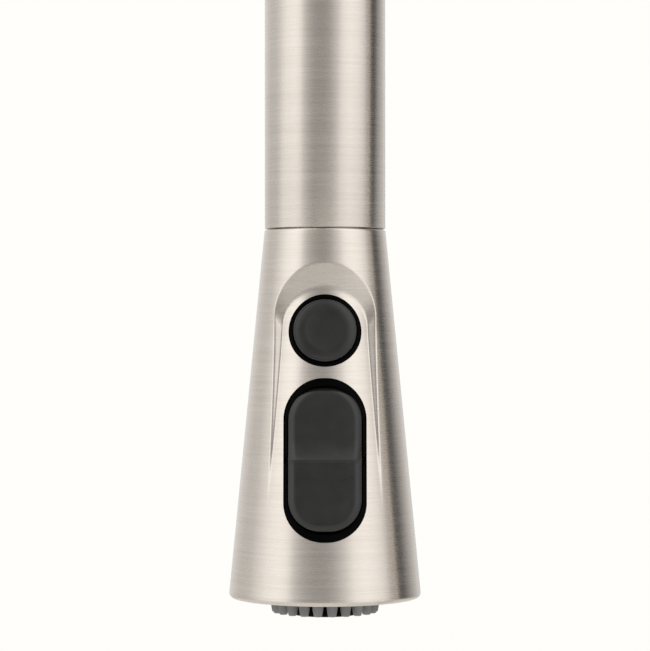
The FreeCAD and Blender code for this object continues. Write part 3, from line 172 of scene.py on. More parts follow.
def brushed(name, kind):
    """Nickel brushed round its axis: a fine lengthwise spread of the reflections."""
    paint = Paint(name)
    lines, scratch = 3400, 70
    place, scale = paint.coords, (scratch, scratch, lines)
    if kind == "spout":
        place, direction = along_spout(paint)
    elif kind == "dome":
        direction = paint.join(0.0, 1.0, 0.0)
        scale = (scratch, lines, scratch)
    else:
        direction = paint.join(0.0, 0.0, 1.0)
    fine = paint.noise(place, scale, detail=2.0, roughness=0.6)
    wide = paint.noise(place, tuple(s * 0.32 for s in scale), detail=3.0, roughness=0.6)
    cloud = paint.noise(place, (24, 24, 24), detail=2.0)
    both = paint.math("ADD", paint.math("MULTIPLY", fine, 0.5), paint.math("MULTIPLY", wide, 0.5))
    pale = paint.mixed(paint.between(both, 0.0, 1.0, 0.36, 0.64),
                       (0.665, 0.61, 0.555), (0.745, 0.695, 0.64))
    tint = paint.mixed(paint.between(cloud, 0.0, 0.35), pale, (0.72, 0.66, 0.61))
    paint.set(Base_Color=tint, Metallic=1.0,
              Roughness=paint.between(both, 0.235, 0.30), Anisotropic=0.85)
    turned = paint.node("ShaderNodeVectorTransform", vector_type="VECTOR",
                        convert_from="OBJECT", convert_to="WORLD")
    paint.feed(turned.inputs[0], direction)
    paint.feed(paint.shader.inputs["Tangent"],
               paint.vector("NORMALIZE", turned.outputs[0]))
    paint.bump(fine, 0.004 * MM, 0.17)
    return paint.material


# ---------------------------------------------------------------- other materials

def moulded(name, colour, lighter, roughness, grain=4200, depth=0.008, specular=0.5):
    """Moulded plastic: a faint grain, a slight mottle and a roughness that varies a little."""
    paint = Paint(name)
    fine = paint.noise(paint.coords, (grain,) * 3, detail=2.0)
    mottle = paint.noise(paint.coords, (260,) * 3, detail=4.0)
    paint.set(Base_Color=paint.mixed(paint.between(mottle, 0.0, 1.0), colour, lighter),
              Roughness=paint.between(mottle, roughness * 0.88, roughness * 1.12),
              Specular_IOR_Level=specular)
    paint.bump(fine, depth * MM, 0.6)
    return paint.material


def metal(name, colour, darker, roughness, stretch, depth=0.004):
    """Machined or drawn metal: fine tool marks along the stretch and a little staining."""
    paint = Paint(name)
    marks = paint.noise(paint.coords, stretch, detail=3.0, roughness=0.6)
    stain = paint.noise(paint.coords, (90, 90, 90), detail=4.0)
    tone = paint.math("ADD", paint.math("MULTIPLY", marks, 0.6), paint.math("MULTIPLY", stain, 0.4))
    paint.set(Base_Color=paint.mixed(paint.between(tone, 0.0, 1.0, 0.35, 0.65), darker, colour),
              Metallic=1.0, Roughness=paint.between(tone, roughness * 1.3, roughness * 0.8))
    paint.bump(marks, depth * MM, 0.5)
    return paint.material


def make_materials():
    """One finish for each of the record's material slots, and the brushed ones by direction."""
    made = {
        "charcoal_plastic": moulded("charcoal_plastic", (0.015, 0.015, 0.015),
                                    (0.021, 0.021, 0.021), 0.31),
        # Painted shade: on top of the plastic's own black, the near-zero colour and the near-zero
        # reflection paint the shadow in the gaps round the buttons.
        "black_plastic": moulded("black_plastic", (0.0006, 0.0006, 0.0006),
                                 (0.0016, 0.0016, 0.0016), 0.36, grain=2600, specular=0.03),
        "white_plastic": moulded("white_plastic", (0.72, 0.72, 0.70), (0.80, 0.80, 0.78), 0.38),
        "grey_silicone": moulded("grey_silicone", (0.255, 0.255, 0.252), (0.31, 0.31, 0.306), 0.62,
                                 grain=5200, depth=0.012, specular=0.3),
        "black_rubber": moulded("black_rubber", (0.014, 0.014, 0.014), (0.024, 0.024, 0.023), 0.7,
                                grain=3000, depth=0.02, specular=0.3),
        "brass": metal("brass", (0.70, 0.50, 0.22), (0.56, 0.38, 0.16), 0.26, (300, 300, 2400)),
        "stainless_steel": metal("stainless_steel", (0.62, 0.61, 0.59), (0.48, 0.47, 0.46), 0.27,
                                 (300, 300, 2600)),
        "copper": metal("copper", (0.74, 0.36, 0.22), (0.55, 0.25, 0.15), 0.27, (1400, 1400, 90)),
        "ceramic": moulded("ceramic", (0.74, 0.73, 0.69), (0.82, 0.81, 0.78), 0.16, grain=1800,
                           depth=0.002),
        "braided_hose": moulded("braided_hose", (0.045, 0.045, 0.047), (0.105, 0.105, 0.108), 0.5,
                                grain=2600, depth=0.05, specular=0.45),
        "magnet": metal("magnet", (0.34, 0.34, 0.35), (0.24, 0.24, 0.25), 0.36, (500, 500, 500)),
    }
    for kind in ("body", "spout", "dome"):
        made["nickel_" + kind] = brushed("nickel_" + kind, kind)
    return made


MATERIALS = make_materials()
NICKEL_KIND = {"spout_tube": "spout", "dome_cap": "dome"}


def slot_of(name):
    """The record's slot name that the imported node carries."""
    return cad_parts[name].data.materials[0].name.split(".")[0]


def dress(thing, material):
    """Gives every face of a mesh or curve this one material."""
    thing.data.materials.clear()
    thing.data.materials.append(material)


SLOTS = {name: slot_of(name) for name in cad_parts}
for name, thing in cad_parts.items():
    slot = SLOTS[name]
    if slot == "brushed_nickel":
        dress(thing, MATERIALS["nickel_" + NICKEL_KIND.get(name, "body")])
    elif slot in MATERIALS:
        dress(thing, MATERIALS[slot])


# ---------------------------------------------------------------- rounded edges

def rounded(thing, width, angle, segments):
    """Rounds a thing's sharp edges a little, as polishing leaves them."""
    bevel = thing.modifiers.new("bevel", "BEVEL")
    bevel.width = width * MM
    bevel.segments = segments
    bevel.limit_method = "ANGLE"
    bevel.angle_limit = math.radians(angle)
    bevel.harden_normals = True


def soften(name, width):
    """Welds a CAD node's mesh and rounds its edges."""
    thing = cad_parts[name]
    weld = thing.modifiers.new("weld", "WELD")
    weld.merge_threshold = 0.002 * MM
    rounded(thing, width, angle=28, segments=3)


for name, width in (("button_frame", 0.12), ("aerator_housing", 0.2),
                    ("spray_face", 0.15), ("spout_tube", 0.15), ("body_housing", 0.3),
                    ("base_ring", 0.4), ("dome_cap", 0.25), ("handle_hub", 0.25),
                    ("handle_lever", 0.25)):
    soften(name, width)


# ---------------------------------------------------------------- meshes built from rings

def placed(name, data):
    """A new object for a mesh or camera, in the scene."""
    thing = bpy.data.objects.new(name, data)
    bpy.context.scene.collection.objects.link(thing)
    return thing


def built(name, shape):
    """A new object from a bmesh, which is used up."""
    mesh = bpy.data.meshes.new(name)
    shape.to_mesh(mesh)
    shape.free()
    return placed(name, mesh)


def ring_mesh(name, rings, closed=True, material=None):
    """A mesh through rings of points, an array (rings, around, 3); closed joins last to first."""
    count, around = rings.shape[:2]
    i = np.arange(count if closed else count - 1)[:, None]
    j = np.arange(around)[None, :]
    after, beside = (i + 1) % count, (j + 1) % around
    corners = [i * around + j, i * around + beside, after * around + beside, after * around + j]
    faces = np.stack(np.broadcast_arrays(*corners), axis=-1).reshape(-1, 4)
    mesh = bpy.data.meshes.new(name)
    mesh.from_pydata(rings.reshape(-1, 3).tolist(), [], faces.tolist())
    mesh.polygons.foreach_set("use_smooth", [True] * len(mesh.polygons))
    mesh.update()
    shape = bmesh.new()
    shape.from_mesh(mesh)
    bmesh.ops.recalc_face_normals(shape, faces=shape.faces)
    shape.to_mesh(mesh)
    shape.free()
    thing = placed(name, mesh)
    if material:
        dress(thing, material)
    return thing


def lathe(profile, around, centre=(0, 0), shape=None):
    """Rings of a closed (radius, height) profile in mm; shape(radius, height, angle) alters radii."""
    radius, height = np.array(profile, float).T[:, :, None]
    angle = np.linspace(0, math.tau, around, endpoint=False)[None, :]
    radius = np.broadcast_to(radius, (len(profile), around))
    height = np.broadcast_to(height, radius.shape)
    if shape:
        radius = shape(radius, height, angle)
    x = centre[0] + radius * np.cos(angle)
    y = centre[1] + radius * np.sin(angle)
    return np.stack([x, y, height], axis=-1) * MM


def merged(name, parts, material):
    """Joins several ring meshes into one object."""
    shape = bmesh.new()
    for part in parts:
        shape.from_mesh(part.data)
        bpy.data.objects.remove(part)
    thing = built(name, shape)
    dress(thing, material)
    return thing


def stand_in(thing, body, *nodes):
    """Rides on the body and stands for the nodes, which it hides."""
    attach(thing, body)
    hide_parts(*nodes)


def even(start, stop, step):
    """Evenly spaced numbers from start to stop, about a step apart."""
    return np.linspace(start, stop, max(2, int(round(abs(stop - start) / step)) + 1))


# ---------------------------------------------------------------- spray head shell

# Millimetres. A depth is measured down from the seam between the head and the spout.
SEAM = 274.0
TOP_RADIUS, RIM_RADIUS = 15.0, 23.8
RIM_DEPTH, RIM_ROUND = 90.3, 1.2
PANEL_TILT = math.radians(8.2)
FLUSH_DEPTH = 62.4
PAUSE_DEPTH = 25.2
ROCKER_DROP = 31.52
ROCKER_HALF, ROCKER_TALL, ROCKER_CORNER = 8.85, 17.45, 7.8

# The scoop's outline on the panel floor is an arch over the pause button, with sides that spread
# below it. Its wall spreads as it rises, and the arch's centre climbs with it.
ARCH_RADIUS, ARCH_CLIMB = 10.5, 1.43
SIDE_HALF, SIDE_END, SIDE_CURVE = 13.45, 61.5, 1.15
WALL_LOW, WALL_HIGH = -2.0, 9.0
SCOOP_ANGLE = 1.25


def cone_radius(depth):
    return TOP_RADIUS + (RIM_RADIUS - TOP_RADIUS) / RIM_DEPTH * depth


def panel_radius(depth):
    """The scooped panel's floor: a cone steeper than the head's, flush with it low down."""
    return cone_radius(FLUSH_DEPTH) - math.tan(PANEL_TILT) * (FLUSH_DEPTH - depth)


def soft_min(one, other, blend):
    """The lower of two heights, with a rounded change from one to the other."""
    near = np.clip(blend - np.abs(one - other), 0, None) / blend
    return np.minimum(one, other) - near * near * blend / 4


def wall_rise(x, depth):
    """How high the scoop's wall stands over the panel floor at a place outside its arch."""
    low, high = np.full(x.shape, WALL_LOW), np.full(x.shape, WALL_HIGH)
    for _ in range(26):
        rise = (low + high) / 2
        centre = PAUSE_DEPTH - ARCH_CLIMB * rise
        radius = ARCH_RADIUS + rise
        share = np.clip((depth - centre) / (SIDE_END - centre), 0, None)
        beside = np.abs(x) - (radius + (SIDE_HALF + rise - radius) * share ** SIDE_CURVE)
        above = np.hypot(x, centre - depth) - radius
        outside = np.where(depth < centre, above, beside) > 0
        low, high = np.where(outside, rise, low), np.where(outside, high, rise)
    return (low + high) / 2


def shell_radius(angle, depth):
    """The head's outer radius in mm; angle 0 is the front."""
    outer = cone_radius(depth)
    floor = panel_radius(depth)
    radius = outer
    front = np.abs(angle) < SCOOP_ANGLE
    arch_edge, side_edge, floor_blend = 0.12, 0.32, 0.3
    below_arch = np.clip((depth - 20) / 8, 0, 1)
    edge = arch_edge + (side_edge - arch_edge) * below_arch
    for _ in range(5):
        rise = np.where(front, wall_rise(radius * np.sin(angle), depth), WALL_HIGH)
        wall = floor - soft_min(-rise, 0.0, floor_blend)
        radius = np.where(front, soft_min(outer, wall, edge), outer)
    return radius


def on_panel(x, along, out):
    """World place in mm of a point on the scooped panel, from the pause button's centre."""
    lean, stand = math.sin(PANEL_TILT), math.cos(PANEL_TILT)
    y = along * lean - out * stand - panel_radius(PAUSE_DEPTH)
    z = along * stand + out * lean + SEAM - PAUSE_DEPTH
    return np.stack(np.broadcast_arrays(x + HEAD_MM, y, z), axis=-1)


def stadium(width, height, corner, around):
    """Points round a tall outline with rounded corners, evenly by angle within each corner."""
    quarter = np.linspace(0, math.pi / 2, around // 4)
    half, tall = width / 2 - corner, height / 2 - corner
    points = []
    for i, (sx, sy) in enumerate(((1, 1), (-1, 1), (-1, -1), (1, -1))):
        turn = quarter + i * math.pi / 2
        points.append(np.stack([sx * half + corner * np.cos(turn),
                                sy * tall + corner * np.sin(turn)], axis=-1))
    return np.concatenate(points)


def opening(name, points, drop):
    """A plug through the shell's wall, square to the panel, for cutting an opening."""
    x, along = points[:, 0], points[:, 1] - drop
    inside, outside = -7.0, 8.0
    shape = bmesh.new()
    ends = []
    for out in (inside, outside):
        ends.append([shape.verts.new(p * MM) for p in on_panel(x, along, out)])
    count = len(points)
    for i in range(count):
        after = (i + 1) % count
        shape.faces.new((ends[0][i], ends[0][after], ends[1][after], ends[1][i]))
    shape.faces.new(ends[0][::-1])
    shape.faces.new(ends[1])
    bmesh.ops.recalc_face_normals(shape, faces=shape.faces)
    return built(name, shape)


def applied(thing, name):
    """The thing's mesh with its modifiers applied, as a new object under a name."""
    graph = bpy.context.evaluated_depsgraph_get()
    mesh = bpy.data.meshes.new_from_object(thing.evaluated_get(graph))
    bpy.data.objects.remove(thing)
    return placed(name, mesh)


def make_head():
    """The brushed shell: a cone with a rounded rim, the scooped panel and the two openings."""
    fine = 1.1
    around = np.concatenate([np.linspace(-fine, fine, 340),
                             np.linspace(fine, math.tau - fine, 150)[1:-1]])
    depths = np.concatenate([np.linspace(0.6, 5.6, 12), np.linspace(5.8, 18, 80),
                             np.linspace(18.2, 64, 190), np.linspace(64.6, RIM_DEPTH, 36)])
    angle, depth = np.meshgrid((around + math.pi) % math.tau - math.pi, depths)
    skin = shell_radius(angle, depth)
    foot_depth = RIM_DEPTH + RIM_ROUND
    above = [(14.55, 0.3), (14.85, 0.34), (14.97, 0.42)]
    below = [(RIM_RADIUS + RIM_ROUND * (math.cos(a) - 1), RIM_DEPTH + RIM_ROUND * math.sin(a))
             for a in np.linspace(0, math.pi / 2, 9)[1:]]
    below += [(22.15, foot_depth), (22.0, foot_depth - 0.15), (22.0, 86.0), (20.2, 70.0),
              (11.8, 6.0), (12.3, 6.0), (12.3, 0.3)]

    def plain(profile):
        """Radii and depths of rings that are the same all round."""
        r, d = np.array(profile).T
        return np.repeat(r[:, None], len(around), 1), np.repeat(d[:, None], len(around), 1)

    top, foot = plain(above), plain(below)
    radius = np.concatenate([top[0], skin, foot[0]])
    depth = np.concatenate([top[1], depth, foot[1]])
    rings = np.stack([HEAD_MM + radius * np.sin(around), -radius * np.cos(around), SEAM - depth],
                     axis=-1)
    shell = ring_mesh("head_blank", rings * MM)
    plugs = [opening("pause_plug", stadium(17.8, 17.8, 8.9, 128), 0.0),
             opening("rocker_plug", stadium(20.2, 39.8, 9.8, 160), ROCKER_DROP)]
    for plug in plugs:
        cut = shell.modifiers.new(plug.name, "BOOLEAN")
        cut.object = plug
        cut.operation = "DIFFERENCE"
        cut.solver = "EXACT"
    head = applied(shell, "head_shell_brushed")
    for plug in plugs:
        bpy.data.objects.remove(plug)
    head.data.set_sharp_from_angle(angle=math.radians(32))
    dress(head, MATERIALS["nickel_body"])
    stand_in(head, "spray_head", "head_shell")


# ---------------------------------------------------------------- buttons

def make_pause_button():
    """The round cap: a shallow dish inside a rounded shoulder, and the plunger behind it."""
    dish_radius, middle, crest = 4.9, 1.06, 1.30
    flat_radius, edge_height, fillet = 7.25, 0.28, 0.4
    dish = [(r, middle + (crest - middle) * (r / dish_radius) ** 4)
            for r in np.linspace(0.02, dish_radius, 18)]
    shoulder = [(r, crest - 0.62 * ((r - dish_radius) / (flat_radius - dish_radius)) ** 2)
                for r in np.linspace(5.1, flat_radius, 14)]
    edge = [(flat_radius + fillet * math.sin(a), edge_height + fillet * math.cos(a))
            for a in np.linspace(0, math.pi / 2, 7)[1:]]
    back = [(7.65, -1.9), (7.55, -2.0), (6.15, -2.0), (6.15, -0.8), (2.4, -0.8), (2.4, -10.2),
            (1.8, -11.0), (0.02, -11.0)]
    turned = lathe(dish + shoulder + edge + back, 128) / MM
    cap = ring_mesh("pause_cap", on_panel(turned[..., 0], turned[..., 1], turned[..., 2]) * MM,
                    material=MATERIALS["charcoal_plastic"])
    cap.data.set_sharp_from_angle(angle=math.radians(40))
    stand_in(cap, "pause_button", "pause_button")


def rocker_rise(x, along):
    """The rocker's face over the panel: a sunk half, a sweep up to the crest, a proud half."""
    sunk, crest, sweep_top, sweep_foot = -0.5, 1.6, 5.4, -0.3
    length = sweep_top - sweep_foot
    sweep = sunk + (crest - sunk) * (np.clip(sweep_top - along, 0, length) / length) ** 1.9
    step = 0.28 * np.clip((sweep_foot - along) / 0.9, 0, 1)
    swell = 0.12 * np.clip(-along / 17, 0, 1)
    proud = crest - step + swell
    side = np.maximum(np.abs(x) - (ROCKER_HALF - ROCKER_CORNER), 0)
    end = np.maximum(np.abs(along) - (ROCKER_TALL - ROCKER_CORNER), 0)
    flat = np.minimum(ROCKER_HALF - np.abs(x), ROCKER_TALL - np.abs(along))
    inset = np.where((side > 0) & (end > 0), ROCKER_CORNER - np.hypot(side, end), flat)
    reach = 1.9
    shoulder = 0.9 * (np.clip(reach - inset, 0, reach) / reach) ** 2
    crown = 0.35 * (x / ROCKER_HALF) ** 4
    return np.where(along > sweep_foot, sweep, proud) - shoulder - crown


def rocker_face():
    """The rocker's moulded face as a grid of places, closed by a skirt and a flat back."""
    even_part = 0.74
    half = np.concatenate([np.linspace(0, even_part, 16)[:-1],
                           1 - (1 - even_part) * np.linspace(1, 0, 18) ** 1.4])
    across = np.concatenate([-half[:0:-1], half])
    # The rows crowd at the round ends and over the sweep, with a close pair at the sweep's foot.
    ends = ROCKER_TALL - 3.2 * (1 - np.cos(np.linspace(0, math.pi / 2, 16)))
    along = np.unique(np.round(np.concatenate([
        -ends, ends, np.arange(-14, 14, 0.6), np.arange(-1.6, 6.4, 0.16), [-0.301, -0.299]]), 3))
    past = np.clip(np.abs(along) - (ROCKER_TALL - ROCKER_CORNER), 0, ROCKER_CORNER)
    width = ROCKER_HALF - ROCKER_CORNER + np.sqrt(ROCKER_CORNER ** 2 - past ** 2)
    x = width[:, None] * across[None, :]
    up = np.repeat(along[:, None], len(across), 1)
    middle, underside = -ROCKER_DROP + 0.2, -2.2
    face = on_panel(x, up + middle, rocker_rise(x, up)) * MM
    back = on_panel(x, up + middle, np.full(x.shape, underside)) * MM
    rows, columns = x.shape
    shape = bmesh.new()
    front = [[shape.verts.new(p) for p in row] for row in face]
    rim = ([(0, j) for j in range(columns)] + [(i, columns - 1) for i in range(1, rows)]
           + [(rows - 1, j) for j in range(columns - 2, -1, -1)]
           + [(i, 0) for i in range(rows - 2, 0, -1)])
    low = [shape.verts.new(back[i, j]) for i, j in rim]
    for i in range(rows - 1):
        for j in range(columns - 1):
            shape.faces.new((front[i][j], front[i][j + 1], front[i + 1][j + 1], front[i + 1][j]))
    for k, (i, j) in enumerate(rim):
        after = (k + 1) % len(rim)
        a, b = rim[after]
        shape.faces.new((front[i][j], front[a][b], low[after], low[k]))
    shape.faces.new(low)
    bmesh.ops.recalc_face_normals(shape, faces=shape.faces)
    thing = built("rocker_face", shape)
    thing.data.polygons.foreach_set("use_smooth", [True] * len(thing.data.polygons))
    return thing


def across_panel(name, start, stop, radius, bore, along, out):
    """A short tube lying across the panel."""
    x = np.array([start, start, stop, stop])[:, None]
    r = np.array([bore, radius, radius, bore])[:, None]
    turn = np.linspace(0, math.tau, 40, endpoint=False)[None, :]
    places = on_panel(x, along + r * np.cos(turn) - ROCKER_DROP, out + r * np.sin(turn))
    return ring_mesh(name, places * MM)


def make_rocker_button():
    """The long button: its moulded face, two lugs on the pin and the arm that shifts the spool."""
    outline = stadium(2.4, 4.0, 0.4, 24)
    arm = np.stack([on_panel(outline[:, 0], outline[:, 1] - ROCKER_DROP, out)
                    for out in (-11.6, -9.0, -5.0, -2.1)])
    parts = [rocker_face(), ring_mesh("rocker_arm", arm * MM, closed=False),
             across_panel("rocker_tip", -1.2, 1.2, radius=1.2, bore=0.05, along=0.26, out=-12.66)]
    inner, outer = 6.05, 8.05
    for side, start, stop in (("left", -outer, -inner), ("right", inner, outer)):
        parts.append(across_panel(f"rocker_lug_{side}", start, stop, radius=2.0, bore=1.1,
                                  along=0, out=-3.0))
    button = merged("rocker_moulded", parts, MATERIALS["charcoal_plastic"])
    button.data.set_sharp_from_angle(angle=math.radians(36))
    stand_in(button, "rocker", "rocker_button")


# ---------------------------------------------------------------- nozzles

def make_nozzles():
    """The soft mat: a flat ring and its ribbed nozzles, each with its water hole."""
    low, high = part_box("nozzle_mat")
    foot, top = low.z / MM, high.z / MM
    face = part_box("spray_face")[0].z / MM
    count, spread, root, tip, hole = 22, 12.15, 1.5, 1.0, 0.45
    inner, outer, web = 10.65, 14.1, 0.9
    ribs, rib_depth = 14, 0.07
    parts = [ring_mesh("web", lathe([(inner, top - web), (outer, top - web), (outer, top),
                                     (inner, top)], 96, (HEAD_MM, 0)))]

    def ribbed(radius, height, angle):
        """Sinks grooves round a nozzle below the face, but not round its water hole."""
        share = np.clip((face - height) / 0.6, 0, 1) * (radius > hole * 1.5)
        return radius + rib_depth * share * (np.cos(angle * ribs) - 1)

    for i in range(count):
        turn = math.tau * i / count
        centre = (HEAD_MM + spread * math.cos(turn), spread * math.sin(turn))
        skirt = [(root + (tip - root) * t ** 2, face + (foot + 0.2 - face) * t)
                 for t in np.linspace(0, 1, 12)]
        parts.append(ring_mesh(f"nozzle_{i}", lathe([
            (hole, top - 0.3), (root, top - 0.3), *skirt, (tip - 0.1, foot + 0.05),
            (tip - 0.22, foot), (hole + 0.14, foot), (hole + 0.02, foot + 0.12), (hole, foot + 0.4),
        ], 56, centre, ribbed)))
    mat = merged("nozzle_mat_ribbed", parts, MATERIALS["grey_silicone"])
    stand_in(mat, "spray_head", "nozzle_mat")


# ---------------------------------------------------------------- threads and deck fixing

def thread(crest, depth, pitch, low, high):
    """A radius rule that cuts a V thread below the crest, fading out at both ends."""
    flank, land = 1.35, 0.12

    def rule(radius, height, angle):
        turn = (height / pitch - angle / math.tau) % 1.0
        groove = np.clip(flank * np.abs(2 * turn - 1) - land, 0, 1)
        fade = np.clip((height - low) / pitch, 0, 1) * np.clip((high - height) / pitch, 0, 1)
        outer = np.abs(radius - crest) < 0.01
        return radius - depth * groove * fade * outer
    return rule


def make_shank():
    """The hollow brass shank with its real thread from the plain length down."""
    low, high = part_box("threaded_shank")
    foot, top = low.z / MM, high.z / MM
    crest, plain, neck, bore = 16.3, 16.5, 16.3, 14.75
    chamfer, plain_foot, runout = 0.9, -28.0, 0.3
    start, stop = foot + chamfer, plain_foot - runout
    rows = [(crest, z) for z in even(start, stop, 0.19)]
    profile = [(bore, foot), (crest - chamfer, foot), *rows, (plain, plain_foot), (plain, 0),
               (neck, 0), (neck, top - 1), (neck - 1, top), (bore, top)]
    rule = thread(crest, 0.85, 1.5, start, stop)
    shank = ring_mesh("shank_threaded", lathe(profile, 112, shape=rule),
                      material=MATERIALS["brass"])
    rounded(shank, 0.12, angle=50, segments=2)
    stand_in(shank, "root", "threaded_shank")


def make_mounting_screws():
    """Three threaded clamping screws with hexagon sockets in their heads."""
    low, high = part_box("mounting_screws")
    foot, top = low.z / MM, high.z / MM
    crest, head, socket, centre_gap = 2.0, 3.6, 1.75, 0.02
    around, spread, count = 48, 21.4, 3
    start, stop = foot + 4.1, top - 0.7
    socket_top = foot + 2.4
    cut = thread(crest, 0.42, 0.9, start, stop)

    def rule(radius, height, angle):
        """Cuts the thread, and draws the socket in to the flats of a hexagon."""
        corner = np.cos(math.pi / 6) / np.cos((angle % (math.pi / 3)) - math.pi / 6)
        in_socket = (np.abs(radius - socket) < 0.01) & (height < socket_top + 0.2)
        return np.where(in_socket, radius * corner, cut(radius, height, angle))

    rows = [(crest, z) for z in even(start, stop, 0.13)]
    profile = [
        (centre_gap, socket_top), (socket, socket_top), (socket, foot), (head - 0.5, foot),
        (head, foot + 0.5), (head, foot + 3.2), (head - 0.3, foot + 3.5), (crest, foot + 3.8), *rows,
        (crest - 0.5, top), (centre_gap, top),
    ]
    parts = []
    for i in range(count):
        turn = math.tau * i / count
        centre = (spread * math.cos(turn), spread * math.sin(turn))
        parts.append(ring_mesh(f"screw_{i}", lathe(profile, around, centre, rule)))
    screws = merged("clamp_screws", parts, MATERIALS["stainless_steel"])
    stand_in(screws, "deck_nut", "mounting_screws")


# ---------------------------------------------------------------- braided hose

# Millimetres. The head pulls out by PULL, and the drop's strands are laid for that length.
HOSE_RADIUS = 5.6
HOSE_BORE = 3.7
STRANDS = 14
STRAND_RISE = 2.7
BRAID_DEPTH = 0.30
BRAID_STEP = 0.42
BRAID_TOP = -40
PULL = 450.0


def braid(angle, run):
    """How far the braid stands in from its crest, where two families of strands cross."""
    one = STRANDS * angle / math.tau + run / STRAND_RISE
    other = STRANDS * angle / math.tau - run / STRAND_RISE
    crossing = np.abs(np.cos(math.pi * one) * np.cos(math.pi * other))
    return BRAID_DEPTH * (1 - crossing ** 0.6)


def hose_rings(centres, side, runs, relief):
    """Rings of the hose's skin round a line of centres, in the plane of the spout."""
    angle = np.linspace(0, math.tau, 84, endpoint=False)[None, :]
    radius = HOSE_RADIUS - relief[:, None] * braid(angle, runs[:, None])
    out = radius * np.cos(angle)
    points = centres[:, None, :] + out[:, :, None] * side[:, None, :]
    points[:, :, 1] += radius * np.sin(angle)
    return points


def with_bore(rings, centres, side):
    """Adds the hose's bore, so that the skin turns in at both ends."""
    angle = np.linspace(0, math.tau, rings.shape[1], endpoint=False)
    most = 120
    inner = []
    for i in np.linspace(len(centres) - 1, 0, min(len(centres), most)).astype(int):
        ring = centres[i] + (HOSE_BORE * np.cos(angle))[:, None] * side[i]
        ring[:, 1] += HOSE_BORE * np.sin(angle)
        inner.append(ring)
    return np.concatenate([rings, np.array(inner)])


def make_hose_drop():
    """The stretch that follows the head: its strands are laid for the pulled-out length."""
    low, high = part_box("spray_hose_drop")
    top, foot = high.z / MM, low.z / MM
    fine = np.linspace(top, foot, 4000)
    share = (top - fine) / (top - foot)
    pulled = top - fine + PULL * share * share * (3 - 2 * share)
    runs = even(0.0, pulled[-1], BRAID_STEP)
    heights = np.interp(runs, pulled, fine)
    centres = np.stack([np.full_like(runs, HEAD_MM), np.zeros_like(runs), heights], axis=-1)
    side = np.tile([1.0, 0.0, 0.0], (len(runs), 1))
    rings = hose_rings(centres, side, runs, np.ones_like(runs))
    hose = ring_mesh("hose_drop_braid", with_bore(rings, centres, side) * MM,
                     material=MATERIALS["braided_hose"])
    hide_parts("spray_hose_drop")
    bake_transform(hose)


def make_check_spring():
    """The check valve's spring: one end stays on the nipple, the other goes with the poppet."""
    low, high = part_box("check_valve_spring")
    coil, wire, turns = 2.6, 0.3, 5.8
    foot, top = low.z / MM + wire, high.z / MM - wire
    share = np.linspace(0, 1, 300)
    angle = (math.tau * turns * share)[:, None]
    round_wire = np.linspace(0, math.tau, 14, endpoint=False)[None, :]
    closed_ends = np.clip(np.minimum(share, 1 - share) * 300, 0.02, 1)
    thick = wire * closed_ends[:, None]
    reach = coil + thick * np.cos(round_wire)
    height = (foot + (top - foot) * share)[:, None] + thick * np.sin(round_wire)
    rings = np.stack([HEAD_MM + reach * np.cos(angle), reach * np.sin(angle), height], axis=-1)
    spring = ring_mesh("check_valve_coil", rings * MM, closed=False,
                       material=MATERIALS["stainless_steel"])
    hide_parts("check_valve_spring")
    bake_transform(spring)


def make_hose_run():
    """The stretch inside the gooseneck and down through the shank, braided where it can be seen."""
    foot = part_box("spray_hose_run")[0].z / MM
    bend, height = BEND_RADIUS / MM, BEND_HEIGHT / MM
    turns = np.linspace(0, math.pi, 90)
    arc = np.stack([-bend - bend * np.cos(turns), 0 * turns, height + bend * np.sin(turns)], axis=-1)
    arc_side = np.stack([-np.cos(turns), 0 * turns, np.sin(turns)], axis=-1)
    levels = np.concatenate([np.linspace(height, BRAID_TOP, 60)[1:-1],
                             even(BRAID_TOP, foot, BRAID_STEP)])
    drop = np.stack([0 * levels, 0 * levels, levels], axis=-1)
    drop_side = np.tile([1.0, 0.0, 0.0], (len(levels), 1))
    centres, side = np.concatenate([arc, drop]), np.concatenate([arc_side, drop_side])
    runs = centres[:, 2]
    bare = np.arange(len(centres)) < len(arc)
    relief = np.where(bare, 0.0, np.clip((BRAID_TOP - runs) / 2, 0, 1))
    rings = hose_rings(centres, side, runs, relief)
    hose = ring_mesh("hose_run_braid", with_bore(rings, centres, side) * MM,
                     material=MATERIALS["braided_hose"])
    stand_in(hose, "spout", "spray_hose_run")


make_head()
make_pause_button()
make_rocker_button()
make_check_spring()
make_nozzles()
make_shank()
make_mounting_screws()
make_hose_drop()
make_hose_run()


# ---------------------------------------------------------------- floor, light and camera

FLOOR_HEIGHT = -0.30
FLOOR_RADIUS = 1.4


def make_floor():
    """A broad pale disc for the object to stand over."""
    shape = bmesh.new()
    bmesh.ops.create_circle(shape, cap_ends=True, radius=FLOOR_RADIUS, segments=128)
    floor = built("floor", shape)
    floor.location = (0, 0, FLOOR_HEIGHT)
    paint = Paint("floor_paper")
    mottle = paint.noise(paint.coords, (6, 6, 6), detail=3.0)
    paint.set(Base_Color=paint.mixed(mottle, (0.91, 0.905, 0.89), (0.94, 0.935, 0.92)),
              Roughness=0.8)
    dress(floor, paint.material)


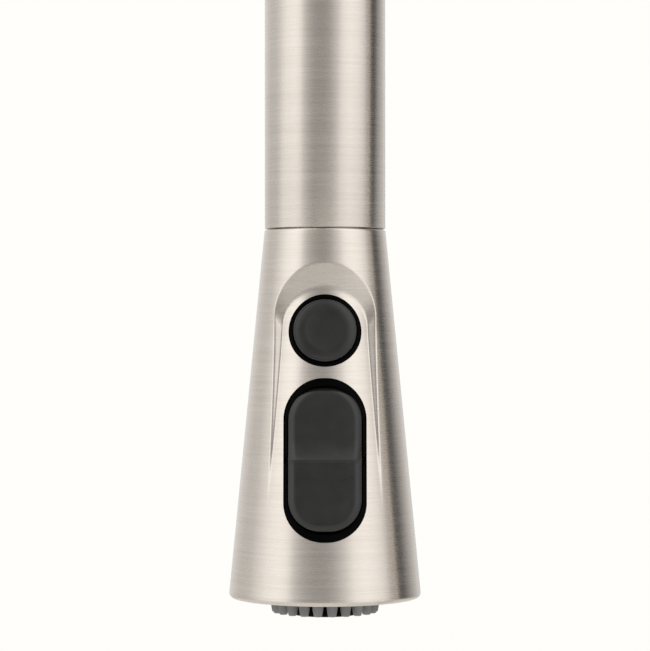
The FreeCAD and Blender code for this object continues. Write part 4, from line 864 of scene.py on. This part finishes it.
# The light tent: degrees round the object from its front, and the brightness there.
TENT = (
    (-150, 0.80), (-125, 0.68), (-106, 0.70), (-90, 0.94), (-75, 1.16), (-58, 1.24), (-48, 1.12),
    (-38, 0.68), (-28, 0.48), (-15, 0.37), (0, 0.36), (11, 0.46), (24, 0.74), (37, 1.12),
    (52, 1.24), (68, 1.14), (80, 0.94), (90, 0.52), (99, 0.14), (110, 0.08), (120, 0.28),
    (132, 0.50), (150, 0.74),
)


def make_light():
    """A soft light tent: panels of different brightness stand round the object."""
    world = bpy.data.worlds.new("tent")
    bpy.context.scene.world = world
    world.use_nodes = True
    world.node_tree.nodes.clear()
    nodes = Nodes(world.node_tree)
    direction = nodes.split(nodes.node("ShaderNodeTexCoord").outputs["Generated"])
    angle = nodes.math("ARCTAN2", direction[0], nodes.math("MULTIPLY", direction[1], -1.0))
    share = nodes.math("ADD", nodes.math("DIVIDE", angle, math.tau), 0.5)
    ramp = nodes.node("ShaderNodeValToRGB")
    nodes.feed(ramp.inputs[0], share)
    bands = ramp.color_ramp
    while len(bands.elements) > 1:
        bands.elements.remove(bands.elements[-1])
    for i, (degrees, level) in enumerate(TENT):
        place = degrees / 360 + 0.5
        stop = bands.elements[0] if i == 0 else bands.elements.new(place)
        stop.position = place
        stop.color = (level, level * 0.99, level * 0.975, 1.0)
    below, above = 0.64, 1.36
    tent = nodes.node("ShaderNodeBackground")
    nodes.feed(tent.inputs["Color"], ramp.outputs[0])
    nodes.feed(tent.inputs["Strength"], nodes.between(direction[2], below, above, -1.0, 1.0))
    backdrop = nodes.node("ShaderNodeBackground")
    backdrop.inputs["Color"].default_value = (1.0, 0.99, 0.955, 1.0)
    pick = nodes.node("ShaderNodeMixShader")
    seen = nodes.node("ShaderNodeLightPath").outputs["Is Camera Ray"]
    for socket, value in zip(pick.inputs, (seen, tent.outputs[0], backdrop.outputs[0])):
        nodes.feed(socket, value)
    nodes.feed(nodes.node("ShaderNodeOutputWorld").inputs[0], pick.outputs[0])


def make_camera():
    """Level with the spray head and straight in front of it."""
    distance, height = 0.6257, 0.25
    data = bpy.data.cameras.new("camera")
    data.lens = 139.0
    data.sensor_width = 36.0
    data.clip_start = 0.01
    camera = placed("camera", data)
    camera.location = (HEAD_X, -distance, height)
    camera.rotation_euler = (math.radians(90), 0, 0)
    bpy.context.scene.camera = camera


make_floor()
make_light()
make_camera()
bpy.context.scene.view_settings.view_transform = "Standard"
